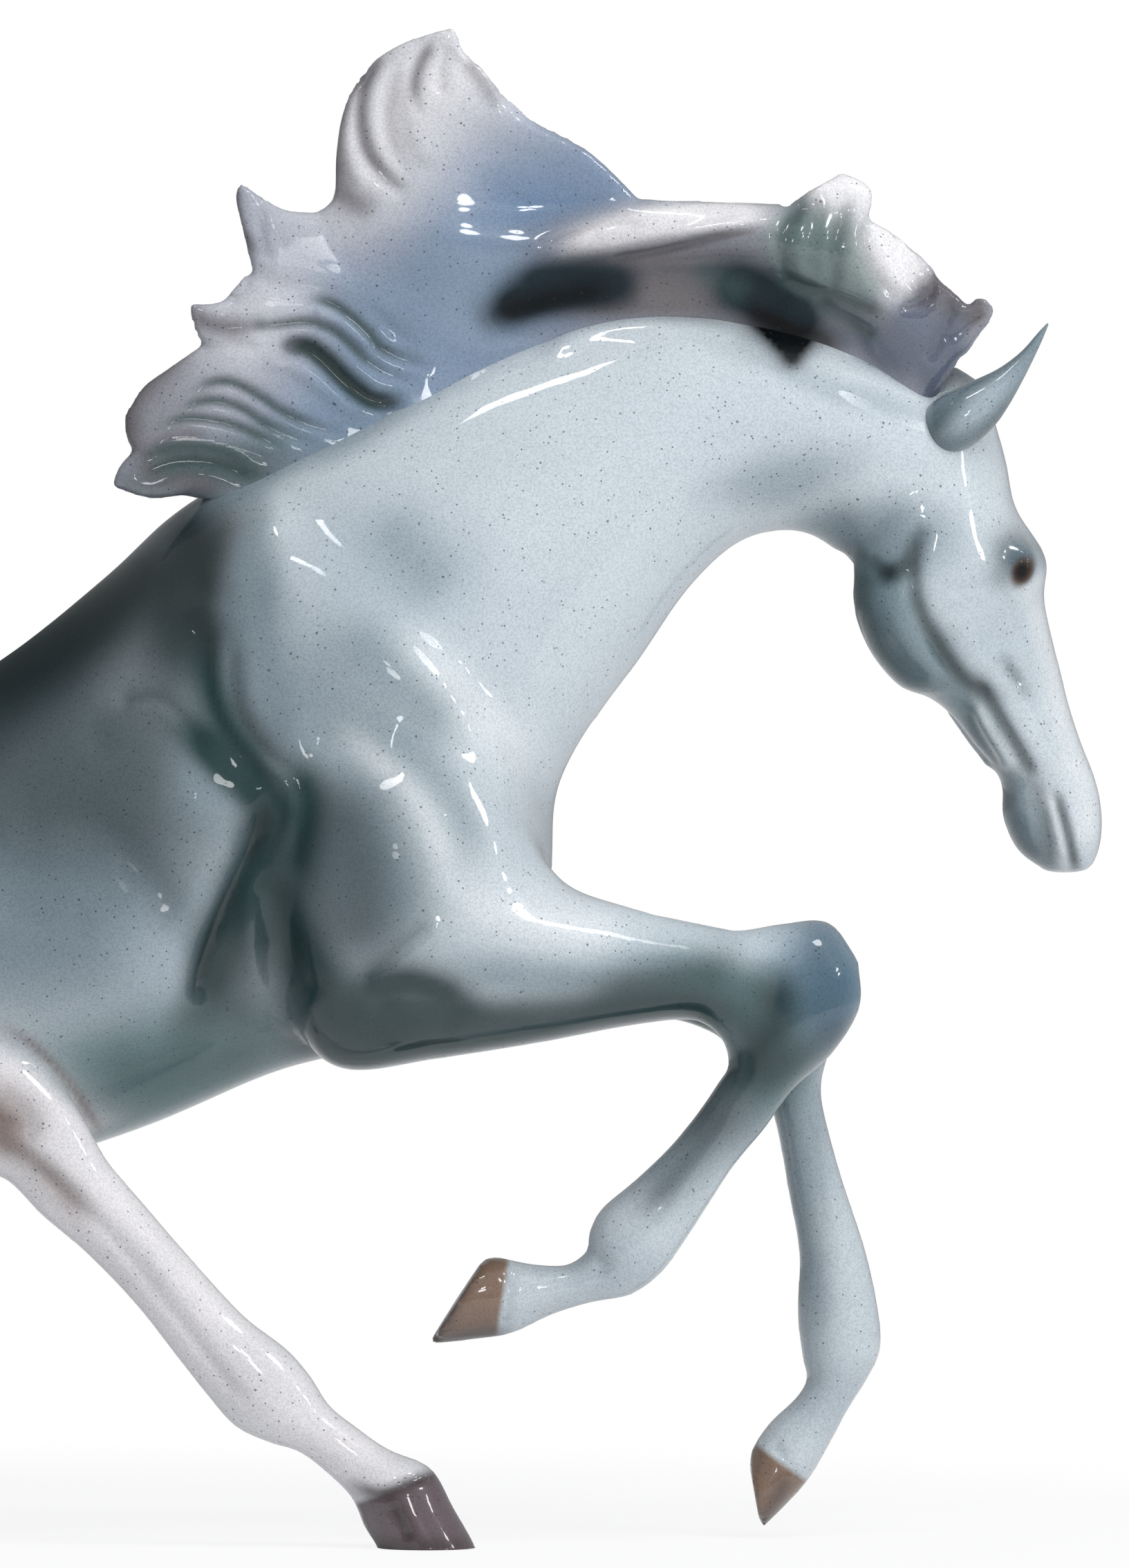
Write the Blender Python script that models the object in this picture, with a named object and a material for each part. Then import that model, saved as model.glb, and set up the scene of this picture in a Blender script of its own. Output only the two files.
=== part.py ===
# Porcelain horse with lifted forehand, folded forelegs and blown mane: 23 slip-cast pieces.
# The horse faces +X, its left side is +Y, the ground is z = 0. Section tables follow a drawing in
# millimetres, and the figure's height sets the size of everything in them.
# Legs, head, hair and ears are castings of their own, luted on with a thin joint.
import math

import bmesh
import bpy
import numpy as np
from mathutils import Vector
from mathutils.bvhtree import BVHTree

FIGURE_HEIGHT = 0.4823    # ground to the highest mane tip
DRAWN_HEIGHT = 482.3      # the same height in the drawing that the section tables follow
MM = FIGURE_HEIGHT / DRAWN_HEIGHT
JOINT = 0.0003            # luting joint between two castings
WALL = 4.2 * MM           # wall of the hollow castings
SKIN_VOXEL = 2.2 * MM     # grid of the blended body skin
SKIN_SMOOTH = 14          # softening passes where limbs run into the body
BODY_SHARE = 0.028        # share of the blended faces kept on the body
HOLLOW_SHARE = 0.060      # share kept on the inside of the shell
VENT_RADIUS = 4.5 * MM    # firing vent in the belly
POUR_RADIUS = 8.5 * MM    # pour hole of the head, hidden in the neck
RING = 18                 # points round a leg section
BODY_RING = 28            # points round a body section
STEPS = 2                 # rings for each interval of a section table
FLUTE_DEPTH = 0.16        # groove depth as a share of the lock thickness
MANE_ROOT = 8.5 * MM      # half thickness of the mane at the crest
MANE_TIP = 1.6 * MM       # half thickness at the tips
TAIL_ROOT = 15.0 * MM     # half thickness of the tail at the dock
TAIL_TIP = 5.0 * MM       # half thickness of the tail ends
LEAST_LEFT = 0.05         # share of a piece that any cut leaves

for old in list(bpy.data.objects):
    bpy.data.objects.remove(old, do_unlink=True)


# Section of a loft: front and back points in the side view, half width, centre y, turn of the side axis
def section(front, back, width, y=0.0, power=2.0, turn=0.0):
    return [front[0], front[1], back[0], back[1], width, y, power, turn]


# Catmull-Rom rows between the given rows
def flow(rows, steps):
    v = np.asarray(rows, float)
    ext = np.vstack([2 * v[0] - v[1], v, 2 * v[-1] - v[-2]])
    out = []
    for i in range(len(v) - 1):
        a, b, c, d = ext[i:i + 4]
        for s in range(steps):
            t = s / steps
            out.append(0.5 * (2 * b + (c - a) * t + (2 * a - 5 * b + 4 * c - d) * t * t
                              + (3 * b - a - 3 * c + d) * t ** 3))
    out.append(v[-1])
    return np.array(out)


# Points of one ring, with the outline of the front half set by its power
def ring_of(row, count, inset=0.0):
    fx, fz, bx, bz, width, y, power, turn = row
    lean = math.tan(math.radians(turn))
    mid = (fx + bx) / 2
    front = np.array([fx, y + (fx - mid) * lean, fz])
    back = np.array([bx, y + (bx - mid) * lean, bz])
    centre = (front + back) / 2
    reach = (front - back) / 2
    length = np.linalg.norm(reach)
    reach = reach * max(length - inset, 1.0) / length
    side = np.array([-math.sin(math.radians(turn)), math.cos(math.radians(turn)), 0.0])
    half = max(width - inset, 1.0)
    ring = []
    for k in range(count):
        c = math.cos(2 * math.pi * k / count)
        s = math.sin(2 * math.pi * k / count)
        p = power if c > 0 else 2.0
        across = math.copysign(abs(s) ** (2 / p), s)
        along = math.copysign(abs(c) ** (2 / p), c)
        ring.append(centre + reach * along + side * half * across)
    return ring


# Object from vertices in millimetres
def make_object(name, verts, faces):
    mesh = bpy.data.meshes.new(name)
    mesh.from_pydata([Vector(p) * MM for p in verts], [], faces)
    bm = bmesh.new()
    bm.from_mesh(mesh)
    bmesh.ops.remove_doubles(bm, verts=bm.verts, dist=1e-6)
    bmesh.ops.recalc_face_normals(bm, faces=bm.faces)
    bm.to_mesh(mesh)
    bm.free()
    obj = bpy.data.objects.new(name, mesh)
    bpy.context.scene.collection.objects.link(obj)
    return obj


# Closed skin over a stack of rings, with fans on both ends
def skin(name, rings):
    count = len(rings[0])
    verts = [p for ring in rings for p in ring]
    faces = []
    for i in range(len(rings) - 1):
        for k in range(count):
            a = i * count + k
            b = i * count + (k + 1) % count
            faces.append((a, b, b + count, a + count))
    last = (len(rings) - 1) * count
    first_hub = len(verts)
    verts.append(np.mean(rings[0], axis=0))
    verts.append(np.mean(rings[-1], axis=0))
    for k in range(count):
        n = (k + 1) % count
        faces.append((first_hub, n, k))
        faces.append((first_hub + 1, last + k, last + n))
    return make_object(name, verts, faces)


def loft(name, rows, count=RING, steps=STEPS, inset=0.0):
    return skin(name, [ring_of(row, count, inset) for row in flow(rows, steps)])


# Applied result of one modifier
def applied(obj, kind, **settings):
    modifier = obj.modifiers.new(kind, kind)
    for key, value in settings.items():
        setattr(modifier, key, value)
    graph = bpy.context.evaluated_depsgraph_get()
    mesh = bpy.data.meshes.new_from_object(obj.evaluated_get(graph))
    obj.modifiers.clear()
    obj.data = mesh
    return obj


def discard(*objs):
    for obj in objs:
        bpy.data.objects.remove(obj, do_unlink=True)


def volume_of(mesh):
    bm = bmesh.new()
    bm.from_mesh(mesh)
    volume = abs(bm.calc_volume())
    bm.free()
    return volume


# Applied Boolean; the next way of solving is only asked where the one before leaves next to nothing
def boolean(obj, tool, operation):
    before = obj.data
    least = LEAST_LEFT * volume_of(before)
    for way in ({"solver": "EXACT"}, {"solver": "EXACT", "use_self": True}, {"solver": "MANIFOLD"}):
        obj.data = before.copy()
        applied(obj, "BOOLEAN", object=tool, operation=operation, **way)
        if volume_of(obj.data) > least:
            break
    return obj


def copy_of(obj, name):
    twin = bpy.data.objects.new(name, obj.data.copy())
    bpy.context.scene.collection.objects.link(twin)
    return twin


# Copy pushed out along its vertex normals
def grown(obj, distance):
    twin = copy_of(obj, obj.name + "_grown")
    bm = bmesh.new()
    bm.from_mesh(twin.data)
    bm.normal_update()
    moves = [(v, v.normal.copy()) for v in bm.verts]
    for vert, normal in moves:
        vert.co += normal * distance
    bm.to_mesh(twin.data)
    bm.free()
    return twin


# True where the surfaces of two pieces cross
def crossing(obj, other):
    trees = []
    for item in (obj, other):
        bm = bmesh.new()
        bm.from_mesh(item.data)
        trees.append(BVHTree.FromBMesh(bm))
        bm.free()
    return bool(trees[0].overlap(trees[1]))


# Cuts the grown form of another piece away
def clear_of(obj, other, distance=JOINT):
    tool = grown(other, distance)
    if crossing(obj, tool):
        boolean(obj, tool, "DIFFERENCE")
    discard(tool)
    return obj


# Keeps the largest connected body
def largest_body(obj):
    bm = bmesh.new()
    bm.from_mesh(obj.data)
    bmesh.ops.remove_doubles(bm, verts=bm.verts, dist=2e-6)
    bmesh.ops.dissolve_degenerate(bm, edges=bm.edges, dist=2e-6)
    left = set(bm.verts)
    bodies = []
    while left:
        stack = [left.pop()]
        body = set(stack)
        while stack:
            for edge in stack.pop().link_edges:
                for vert in edge.verts:
                    if vert in left:
                        left.discard(vert)
                        body.add(vert)
                        stack.append(vert)
        bodies.append(body)
    bodies.sort(key=len, reverse=True)
    spare = [v for body in bodies[1:] for v in body]
    bmesh.ops.delete(bm, geom=spare, context="VERTS")
    bmesh.ops.recalc_face_normals(bm, faces=bm.faces)
    bm.to_mesh(obj.data)
    bm.free()
    return obj


# One blended skin from several overlapping lofts
def blended(name, parts, voxel, passes, share):
    verts = []
    faces = []
    for part in parts:
        start = len(verts)
        verts += [v.co.copy() for v in part.data.vertices]
        faces += [tuple(start + i for i in poly.vertices) for poly in part.data.polygons]
    discard(*parts)
    mesh = bpy.data.meshes.new(name)
    mesh.from_pydata(verts, [], faces)
    obj = bpy.data.objects.new(name, mesh)
    bpy.context.scene.collection.objects.link(obj)
    applied(obj, "REMESH", mode="VOXEL", voxel_size=voxel)
    applied(obj, "SMOOTH", factor=0.6, iterations=passes)
    applied(obj, "DECIMATE", ratio=share)
    return largest_body(obj)


# Large box whose lower face lies on a plane through a point, used to cut along that plane
def half_space(point, normal):
    size = 1.2
    towards = Vector(normal).normalized()
    turn = towards.to_track_quat("Z", "Y")
    corners = []
    for z in (0.0, size):
        for x, y in ((-size, -size), (size, -size), (size, size), (-size, size)):
            corners.append(turn @ Vector((x, y, z)))
    base = Vector(point) * MM
    mesh = bpy.data.meshes.new("half_space")
    sides = [(0, 3, 2, 1), (4, 5, 6, 7), (0, 1, 5, 4), (1, 2, 6, 5), (2, 3, 7, 6), (3, 0, 4, 7)]
    mesh.from_pydata([base + c for c in corners], [], sides)
    obj = bpy.data.objects.new("half_space", mesh)
    bpy.context.scene.collection.objects.link(obj)
    return obj


# Round bar from one point to another
def bar(start, end, radius):
    a = np.array(start, float)
    b = np.array(end, float)
    along = (b - a) / np.linalg.norm(b - a)
    side = np.cross(along, (0.3, 1.0, 0.2))
    side /= np.linalg.norm(side)
    other = np.cross(along, side)
    count = 20
    rings = []
    for centre in (a, b):
        ring = []
        for k in range(count):
            turn = 2 * math.pi * k / count
            ring.append(centre + (side * math.cos(turn) + other * math.sin(turn)) * radius / MM)
        rings.append(ring)
    return skin("bar", rings)


# Glaze colour of a casting
def glaze(obj, colour, roughness=0.12):
    material = bpy.data.materials.new(obj.name + "_glaze")
    material.use_nodes = True
    shader = material.node_tree.nodes["Principled BSDF"]
    shader.inputs["Base Color"].default_value = (*colour, 1.0)
    shader.inputs["Roughness"].default_value = roughness
    shader.inputs["Metallic"].default_value = 0.0
    shader.inputs["Coat Weight"].default_value = 0.6
    obj.data.materials.clear()
    obj.data.materials.append(material)
    for poly in obj.data.polygons:
        poly.use_smooth = True
    return obj


WHITE = (0.74, 0.78, 0.81)
WARM_WHITE = (0.80, 0.78, 0.77)
BLUE_WHITE = (0.55, 0.62, 0.68)

# Trunk: croup to breast, top line first and belly line second
TRUNK = [
    section((-208, 156), (-202, 128), 18),
    section((-204, 172), (-186, 106), 38),
    section((-188, 192), (-158, 96), 52),
    section((-160, 211), (-122, 97), 60),
    section((-124, 227), (-84, 101), 60),
    section((-86, 238), (-44, 107), 57),
    section((-42, 257), (2, 118), 58),
    section((0, 281), (46, 132), 60),
    section((34, 308), (86, 149), 57),
    section((58, 330), (116, 158), 52, power=1.7),
    section((84, 342), (142, 172), 50, power=1.7),
    section((112, 330), (164, 190), 47),
    section((140, 300), (174, 206), 41),
    section((158, 268), (177, 222), 28),
]

# Neck: withers to poll, crest first; it bends to the horse's left
NECK = [
    section((44, 318), (138, 176), 44, power=1.7),
    section((72, 338), (172, 212), 44, 1, 1.7),
    section((98, 352), (178, 240), 40, 2, 1.6),
    section((125, 364), (190, 262), 35, 5, 1.6, 3),
    section((152, 376), (204, 281), 31, 8, 1.6, 6),
    section((180, 386), (219, 303), 28, 12, 1.6, 10),
    section((206, 393), (235, 318), 26, 16, 1.6, 15),
    section((230, 393), (251, 322), 25, 20, 1.6, 20),
    section((254, 388), (263, 319), 24, 23, 1.7, 25),
    section((277, 379), (273, 313), 23, 26, 1.8, 28),
    section((298, 366), (290, 322), 19, 28, 2, 32),
]

# Head: poll to muzzle, forehead first and jaw second, turned to the left
HEAD_TURN = 32
HEAD = [
    section((303, 375), (290, 362), 8, 28, turn=HEAD_TURN),
    section((311, 368), (281, 345), 15, 29, turn=HEAD_TURN),
    section((314, 358), (275, 331), 19, 29, turn=HEAD_TURN),
    section((317, 345), (273, 318), 22, 30, turn=HEAD_TURN),
    section((322, 330), (273, 306), 23.5, 31, turn=HEAD_TURN),
    section((328.5, 314), (274, 294), 23.5, 33, turn=HEAD_TURN),
    section((330.5, 299), (278, 283), 21.5, 35, turn=HEAD_TURN),
    section((333.5, 284), (287, 274), 19, 38, turn=HEAD_TURN),
    section((337.5, 269), (299, 264), 17, 41, turn=HEAD_TURN),
    section((341.5, 255), (309, 252), 15.5, 44, turn=HEAD_TURN),
    section((346, 241), (317.5, 241), 14.5, 47, turn=HEAD_TURN),
    section((350.5, 231), (320.5, 230), 14.5, 49, turn=HEAD_TURN),
    section((350, 222), (325, 220), 14, 50, turn=HEAD_TURN),
    section((346, 215), (331, 214.5), 9.5, 50.5, turn=HEAD_TURN),
    section((343, 213), (336, 212.8), 4, 51, turn=HEAD_TURN),
]

# Right foreleg: upper arm inside the body, forearm to the knee, cannon to the hoof
RIGHT_ARM = [
    section((120, 285), (86, 232), 20, -28),
    section((146, 262), (88, 200), 27, -32),
    section((164, 236), (92, 172), 30, -34),
    section((178, 213), (108, 152), 29, -33),
    section((194, 205), (140, 155), 25, -31),
    section((213, 199.5), (172, 160), 21, -28),
]
RIGHT_FOREARM = [
    section((194, 205), (140, 155), 25, -31),
    section((213, 199.5), (172, 160), 21, -28),
    section((233, 195.5), (199, 165), 17.5, -24),
    section((249, 197.5), (220, 167), 16, -20),
    section((264, 198), (229, 162), 15.5, -18),
    section((273.5, 186), (232, 156), 15.5, -18),
]
RIGHT_CANNON = [
    section((273.5, 186), (232, 156), 15.5, -18),
    section((274, 171), (232, 151), 15, -18),
    section((265, 156), (230, 148.5), 13, -18),
    section((253, 145), (228, 145.5), 11.5, -18),
    section((243.5, 132), (222.5, 137.5), 9.6, -18),
    section((234, 120.5), (213.5, 126.5), 8.9, -18),
    section((225.5, 107.5), (202, 115.5), 9.2, -18),
    section((219, 97.5), (191.5, 106.5), 11, -18),
    section((211, 86.5), (187.5, 98), 11.5, -18),
    section((201, 79.3), (187.5, 93.7), 10, -18),
    section((189, 77), (181, 89), 8.6, -18),
    section((176, 73), (171, 89), 9, -18),
    section((163, 67), (163, 90.5), 11, -18),
    section((150, 65), (158, 91.5), 12.5, -18),
    section((136.5, 63.5), (154, 90.5), 13.5, -18),
]

# Left foreleg: the same parts on the far side
LEFT_ARM = [
    section((120, 285), (88, 232), 20, 28),
    section((148, 244), (94, 198), 25, 30),
    section((172, 209), (112, 164), 26, 31),
    section((193, 202), (144, 162), 23, 29),
    section((216, 197.5), (178, 166), 19, 26),
]
LEFT_FOREARM = [
    section((193, 202), (144, 162), 23, 29),
    section((216, 197.5), (178, 166), 19, 26),
    section((240, 193), (211, 166), 16, 22),
    section((258, 191), (226, 162), 15.5, 18),
    section((268.5, 180), (233, 157), 15.5, 16.5),
]
LEFT_CANNON = [
    section((268.5, 180), (233, 157), 15.5, 16.5),
    section((269, 168), (237, 152), 14, 16),
    section((264.5, 155), (240.5, 147), 11.5, 15.5),
    section((262, 143), (245.5, 139), 9.4, 15.5),
    section((265, 128), (248.5, 128), 8.4, 16),
    section((270, 111), (251.5, 111), 8.2, 17),
    section((276.5, 91), (255, 91), 9, 18),
    section((280.5, 72), (254.5, 72), 10.7, 18.5),
    section((281, 60), (256, 58), 11.2, 18.5),
    section((277, 51), (257.5, 50.5), 10, 18.5),
    section((270.8, 41), (253.5, 44), 8.8, 18.5),
    section((265.5, 31), (245.5, 36.5), 9.2, 18.5),
    section((258.5, 19), (240, 28), 11, 18.5),
    section((251, 10.5), (239.5, 23.5), 12.5, 18.5),
    section((242.8, 2.5), (239, 23.5), 12.8, 18.5),
]

# Right hind leg: thigh folded forward on the flank, straight gaskin and cannon, hoof flat on the ground
RIGHT_THIGH = [
    section((-180, 170), (-170, 122), 16, -20),
    section((-168, 186), (-156, 104), 27, -28),
    section((-144, 198), (-130, 100), 34, -34),
    section((-112, 210), (-100, 112), 35, -38),
    section((-80, 218), (-82, 132), 30, -41),
    section((-54, 209), (-69, 145), 24, -43),
    section((-32, 194), (-55, 145), 20, -45),
    section((-15, 177), (-42, 134), 16, -46),
    section((-4, 166), (-36, 121), 14.5, -46),
]
RIGHT_HIND = [
    section((-15, 177), (-42, 134), 16, -46),
    section((-3, 166), (-36, 121), 14.5, -46),
    section((12.5, 155.5), (-18, 114), 13.5, -45),
    section((25.5, 140.5), (0, 118.5), 11.8, -44),
    section((34.5, 124), (14.5, 105.5), 9.8, -43),
    section((46.5, 109.5), (28, 94), 9.2, -42),
    section((62, 91.5), (43.5, 78), 9, -41),
    section((78, 74), (56, 62), 9.3, -40),
    section((91.5, 63.5), (66, 49.3), 11.1, -39),
    section((99.5, 54.3), (75.5, 38.6), 11.7, -38.5),
    section((105.3, 45.3), (86.5, 33.3), 10.2, -38),
    section((113.3, 38.8), (96, 30.3), 9.2, -38),
    section((124, 31.3), (106, 22.5), 9.8, -38),
    section((137.5, 25.3), (112.7, 15.4), 12.2, -38),
    section((144.8, 12.7), (116.5, 6.5), 14.2, -38),
    section((151.8, 0), (120.7, 0), 15.2, -38),
]

# Left hind leg: bent under the rump, hoof flat on the ground
LEFT_THIGH = [
    section((-146, 206), (-196, 128), 26, 24),
    section((-116, 196), (-184, 116), 34, 33),
    section((-86, 168), (-160, 104), 35, 38),
    section((-66, 138), (-124, 94), 30, 41),
    section((-60, 112), (-96, 78), 21, 43),
    section((-66, 94), (-84, 74), 12, 44),
]
LEFT_GASKIN = [
    section((-64, 110), (-74, 76), 14, 44),
    section((-86, 116), (-88, 67), 22, 44),
    section((-113, 111), (-116, 66), 22, 44),
    section((-140, 106), (-142, 72), 17.5, 44),
    section((-164, 106), (-164, 80), 14, 44),
    section((-186, 110), (-184, 86), 12.8, 44),
]
LEFT_HIND = [
    section((-202, 118), (-213, 107), 7, 44),
    section((-188, 113), (-212, 90), 12.8, 44),
    section((-174, 103), (-196, 76.5), 13.2, 44),
    section((-161, 90.5), (-178, 69.5), 10.8, 44),
    section((-148, 80), (-162, 61.5), 9.4, 44),
    section((-133, 69.5), (-145, 53.5), 9.1, 44),
    section((-118, 63.8), (-138, 47.5), 10.9, 44),
    section((-106.5, 55), (-129, 38.6), 11.7, 44),
    section((-100.3, 45.3), (-118.7, 33.3), 10.2, 44),
    section((-92, 38.8), (-109.3, 30.3), 9.2, 44),
    section((-81, 31.3), (-99, 22.5), 9.8, 44),
    section((-67.5, 25.3), (-92.3, 15.4), 12.2, 44),
    section((-60.2, 12.7), (-88.5, 6.5), 14.2, 44),
    section((-53.2, 0), (-84.3, 0), 15.2, 44),
]


# Legs
right_forearm = glaze(loft("right_forearm", RIGHT_FOREARM), WHITE)
right_fore_cannon = glaze(loft("right_fore_cannon", RIGHT_CANNON), BLUE_WHITE)
left_forearm = glaze(loft("left_forearm", LEFT_FOREARM), WHITE)
left_fore_cannon = glaze(loft("left_fore_cannon", LEFT_CANNON), WHITE)
right_hind_leg = glaze(loft("right_hind_leg", RIGHT_HIND), WARM_WHITE)
left_hind_leg = glaze(loft("left_hind_leg", LEFT_HIND), WARM_WHITE)
clear_of(left_forearm, right_forearm)
clear_of(right_fore_cannon, right_forearm)
clear_of(left_fore_cannon, left_forearm)
clear_of(left_fore_cannon, right_fore_cannon)
clear_of(left_fore_cannon, right_forearm)


# Head, hollow, with its pour hole towards the neck
head_shell = loft("head_shell", HEAD, BODY_RING)
head_form = copy_of(head_shell, "head_form")
head_hollow = loft("head_hollow", HEAD[2:-3], RING // 2 + 1, 1, WALL / MM)
boolean(head_shell, head_hollow, "DIFFERENCE")
pour = bar((300, 31, 330), (262, 23, 350), POUR_RADIUS)
boolean(head_shell, pour, "DIFFERENCE")
discard(head_hollow, pour)
glaze(largest_body(head_shell), WHITE)


# Body skin: trunk, neck and the roots of the limbs run into one another
parts = [
    loft("trunk", TRUNK, BODY_RING),
    loft("neck", NECK, BODY_RING),
    loft("right_arm", RIGHT_ARM),
    loft("left_arm", LEFT_ARM),
    loft("right_thigh", RIGHT_THIGH),
    loft("left_thigh", LEFT_THIGH),
    loft("left_gaskin", LEFT_GASKIN),
]
body = blended("body", parts, SKIN_VOXEL, SKIN_SMOOTH, BODY_SHARE)
body_form = copy_of(body, "body_form")

# Hollow of the body, kept a wall away from every limb and from the head
inside = [
    loft("trunk_hollow", TRUNK[1:-1], RING, 2, WALL / MM),
    loft("neck_hollow", NECK[1:-1], RING, 2, WALL / MM),
    loft("right_arm_hollow", RIGHT_ARM[:-2], RING, 2, WALL / MM),
    loft("left_arm_hollow", LEFT_ARM[:-2], RING, 2, WALL / MM),
    loft("right_thigh_hollow", RIGHT_THIGH[1:-3], RING, 2, WALL / MM),
    loft("left_thigh_hollow", LEFT_THIGH[1:-2], RING, 2, WALL / MM),
]
hollow = blended("hollow", inside, 2 * SKIN_VOXEL, SKIN_SMOOTH, HOLLOW_SHARE)
limbs = (right_forearm, left_forearm, right_hind_leg, left_hind_leg)
for limb in limbs + (head_form,):
    clear_of(hollow, limb, WALL)
largest_body(hollow)
boolean(body, hollow, "DIFFERENCE")
for limb in limbs + (head_form,):
    clear_of(body, limb)
vent = bar((-20, 0, 90), (-20, 0, 150), VENT_RADIUS)
boolean(body, vent, "DIFFERENCE")
discard(hollow, vent)

# Joint between trunk and neck, from the withers to the breast
NECK_JOINT = (66, 0, 334)
NECK_NORMAL = Vector((0.62, 0.0, 0.785)).normalized()
neck_shell = copy_of(body, "neck_shell")
trunk_shell = copy_of(body, "trunk_shell")
above = half_space(Vector(NECK_JOINT) + NECK_NORMAL * (JOINT / MM / 2), NECK_NORMAL)
below = half_space(Vector(NECK_JOINT) - NECK_NORMAL * (JOINT / MM / 2), -NECK_NORMAL)
boolean(neck_shell, above, "INTERSECT")
boolean(trunk_shell, below, "INTERSECT")
discard(above, below, body)
glaze(largest_body(neck_shell), WHITE)
glaze(largest_body(trunk_shell), WHITE)


# Ears: pointed leaves set into the head
RIGHT_EAR = [
    section((299, 350), (295, 358), 5.5, 17),
    section((303.5, 350), (297, 364.5), 7.5, 16),
    section((309.5, 351.5), (304, 368), 8, 15),
    section((317, 355.5), (311.5, 370), 7.5, 14),
    section((320.5, 361.5), (317.5, 372), 6, 14),
    section((326.5, 371.5), (323.5, 377), 4, 15),
    section((334.8, 387.3), (334.2, 388), 0.9, 16),
]
LEFT_EAR = [
    section((306, 358), (293, 364), 8.5, 42),
    section((309, 369), (292, 375), 7.5, 44),
    section((312, 379), (296, 383), 5.2, 46),
    section((313, 388), (303, 390), 3, 47),
    section((313, 396), (311, 396.5), 0.8, 48),
]
for name, rows in (("right_ear", RIGHT_EAR), ("left_ear", LEFT_EAR)):
    ear = loft(name, rows, 18)
    clear_of(ear, head_form)
    clear_of(ear, body_form)
    glaze(largest_body(ear), BLUE_WHITE)


# Hair: a sheet between two edge curves, fluted along its length
def lock(name, left, right, root, tip, flutes):
    rows = len(left)
    rings = []
    inset = JOINT / MM / 2
    for i in range(rows):
        t = i / (rows - 1)
        a = left[i]
        b = right[i]
        across = b - a
        width = np.linalg.norm(across)
        trim = min(inset / width, 0.3)
        half = ((root + (tip - root) * t ** 0.8) / MM) * min(1.0, 0.25 + width / 26)
        face = []
        for k in range(2 * flutes + 1):
            u = trim + (1 - 2 * trim) * k / (2 * flutes)
            rim = abs(2 * u - 1)
            swell = max(1 - rim ** 5, 0.0) ** 0.5
            groove = 1 - 2 * FLUTE_DEPTH * (k % 2)
            face.append((a + across * u, max(half * swell * groove, 0.35)))
        ring = [p - np.array([0, h, 0]) for p, h in face]
        ring += [p + np.array([0, h, 0]) for p, h in reversed(face)]
        rings.append(ring)
    return skin(name, rings)


# Edge curve through given points, with a fixed number of rows
def edge(points, rows=9):
    fine = flow(points, 24)
    travel = np.concatenate([[0], np.cumsum(np.linalg.norm(np.diff(fine, axis=0), axis=1))])
    stops = np.linspace(0, travel[-1], rows)
    return np.array([[np.interp(s, travel, fine[:, k]) for k in range(3)] for s in stops])


# Mane: shared lines between neighbouring locks, from the crest outwards, as x, y, z
M0 = edge([(84, -4, 322), (70, -6, 331), (60, -10, 334)])
M1 = edge([(98, 0, 330), (72, -6, 345), (43, -12, 348)])
M2 = edge([(114, 0, 338), (92, -4, 364), (65, -9, 381.5)])
M3 = edge([(128, 2, 344), (110, 0, 374), (94, -4, 392), (81, -6, 405)])
M4 = edge([(146, 4, 350), (125, 2, 384), (110, 0, 406), (101, -2, 423.5)])
M5 = edge([(178, 14, 368), (168, 10, 384), (166, 5, 396), (174, 0, 408), (188, -2, 418), (204, 0, 427.5)])
M6 = edge([(252, 20, 366), (251, 17, 388), (250, 8, 402), (248, -5, 410), (245, -10, 415), (247, -8, 420),
           (250, -3, 425)])
M7 = edge([(278, 26, 362), (276, 20, 385), (272, 8, 398), (272, 2, 409), (276.5, 4, 421.5)])
M8 = edge([(303, 28, 352), (306, 22, 370), (308, 18, 378)])
MANE = [
    ("mane_withers_lock", M0, [(60, -10, 334), (48, -14, 333), (36.3, -16, 336.5)],
     M1, [(43, -12, 348), (38.5, -14, 343), (36.3, -16, 337.5)], 3),
    ("mane_low_lock", M1, [(43, -12, 348), (41, -14, 352), (40.3, -15, 358)],
     M2, [(65, -9, 381.5), (54, -11, 374), (46, -13, 368), (40.5, -15, 359)], 4),
    ("mane_third_lock", M2, [(65, -9, 381.5), (62, -11, 388), (60.8, -12, 394)],
     M3, [(81, -6, 405), (75, -8, 397), (68, -10, 394.7), (60.8, -12, 394.8)], 3),
    ("mane_second_lock", M3, [(81, -6, 405), (77.5, -8, 419), (75.3, -10, 429), (77, -11, 432.5)],
     M4, [(101, -2, 423.5), (91, -5, 424.5), (83, -8, 429), (77.8, -11, 432.5)], 4),
    ("mane_wave", M4, [(101, -2, 423.5), (106.5, -3, 428), (107.3, -6, 441.5), (109, -9, 453), (113, -12, 463),
                       (120, -14, 472), (130, -15, 478), (143.7, -16, 482.3)],
     M5, [(204, 0, 427.5), (189.5, -4, 441.5), (173.3, -8, 451.5), (160, -11, 461.5), (152.5, -13, 471),
          (148, -15, 476.5), (144.6, -16, 482.3)], 7),
    ("mane_fold", M5, [(204, 0, 427.5), (206, 0, 428)], M6, [(250, -3, 425), (249, -4, 427)], 4),
    ("mane_curl", M6, [(250, -3, 425), (260, -2, 431.5), (268, 2, 436)],
     M7, [(276.5, 4, 421.5), (277.5, 3, 431), (269.5, 2, 436)], 3),
    ("forelock", M7, [(276.5, 4, 421.5), (286, 6, 416), (292, 8, 411), (295, 9, 403), (303, 11, 399.5),
                      (315.5, 14, 393)],
     M8, [(308, 18, 378), (311, 16, 384), (316, 14, 392)], 4),
]
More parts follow.
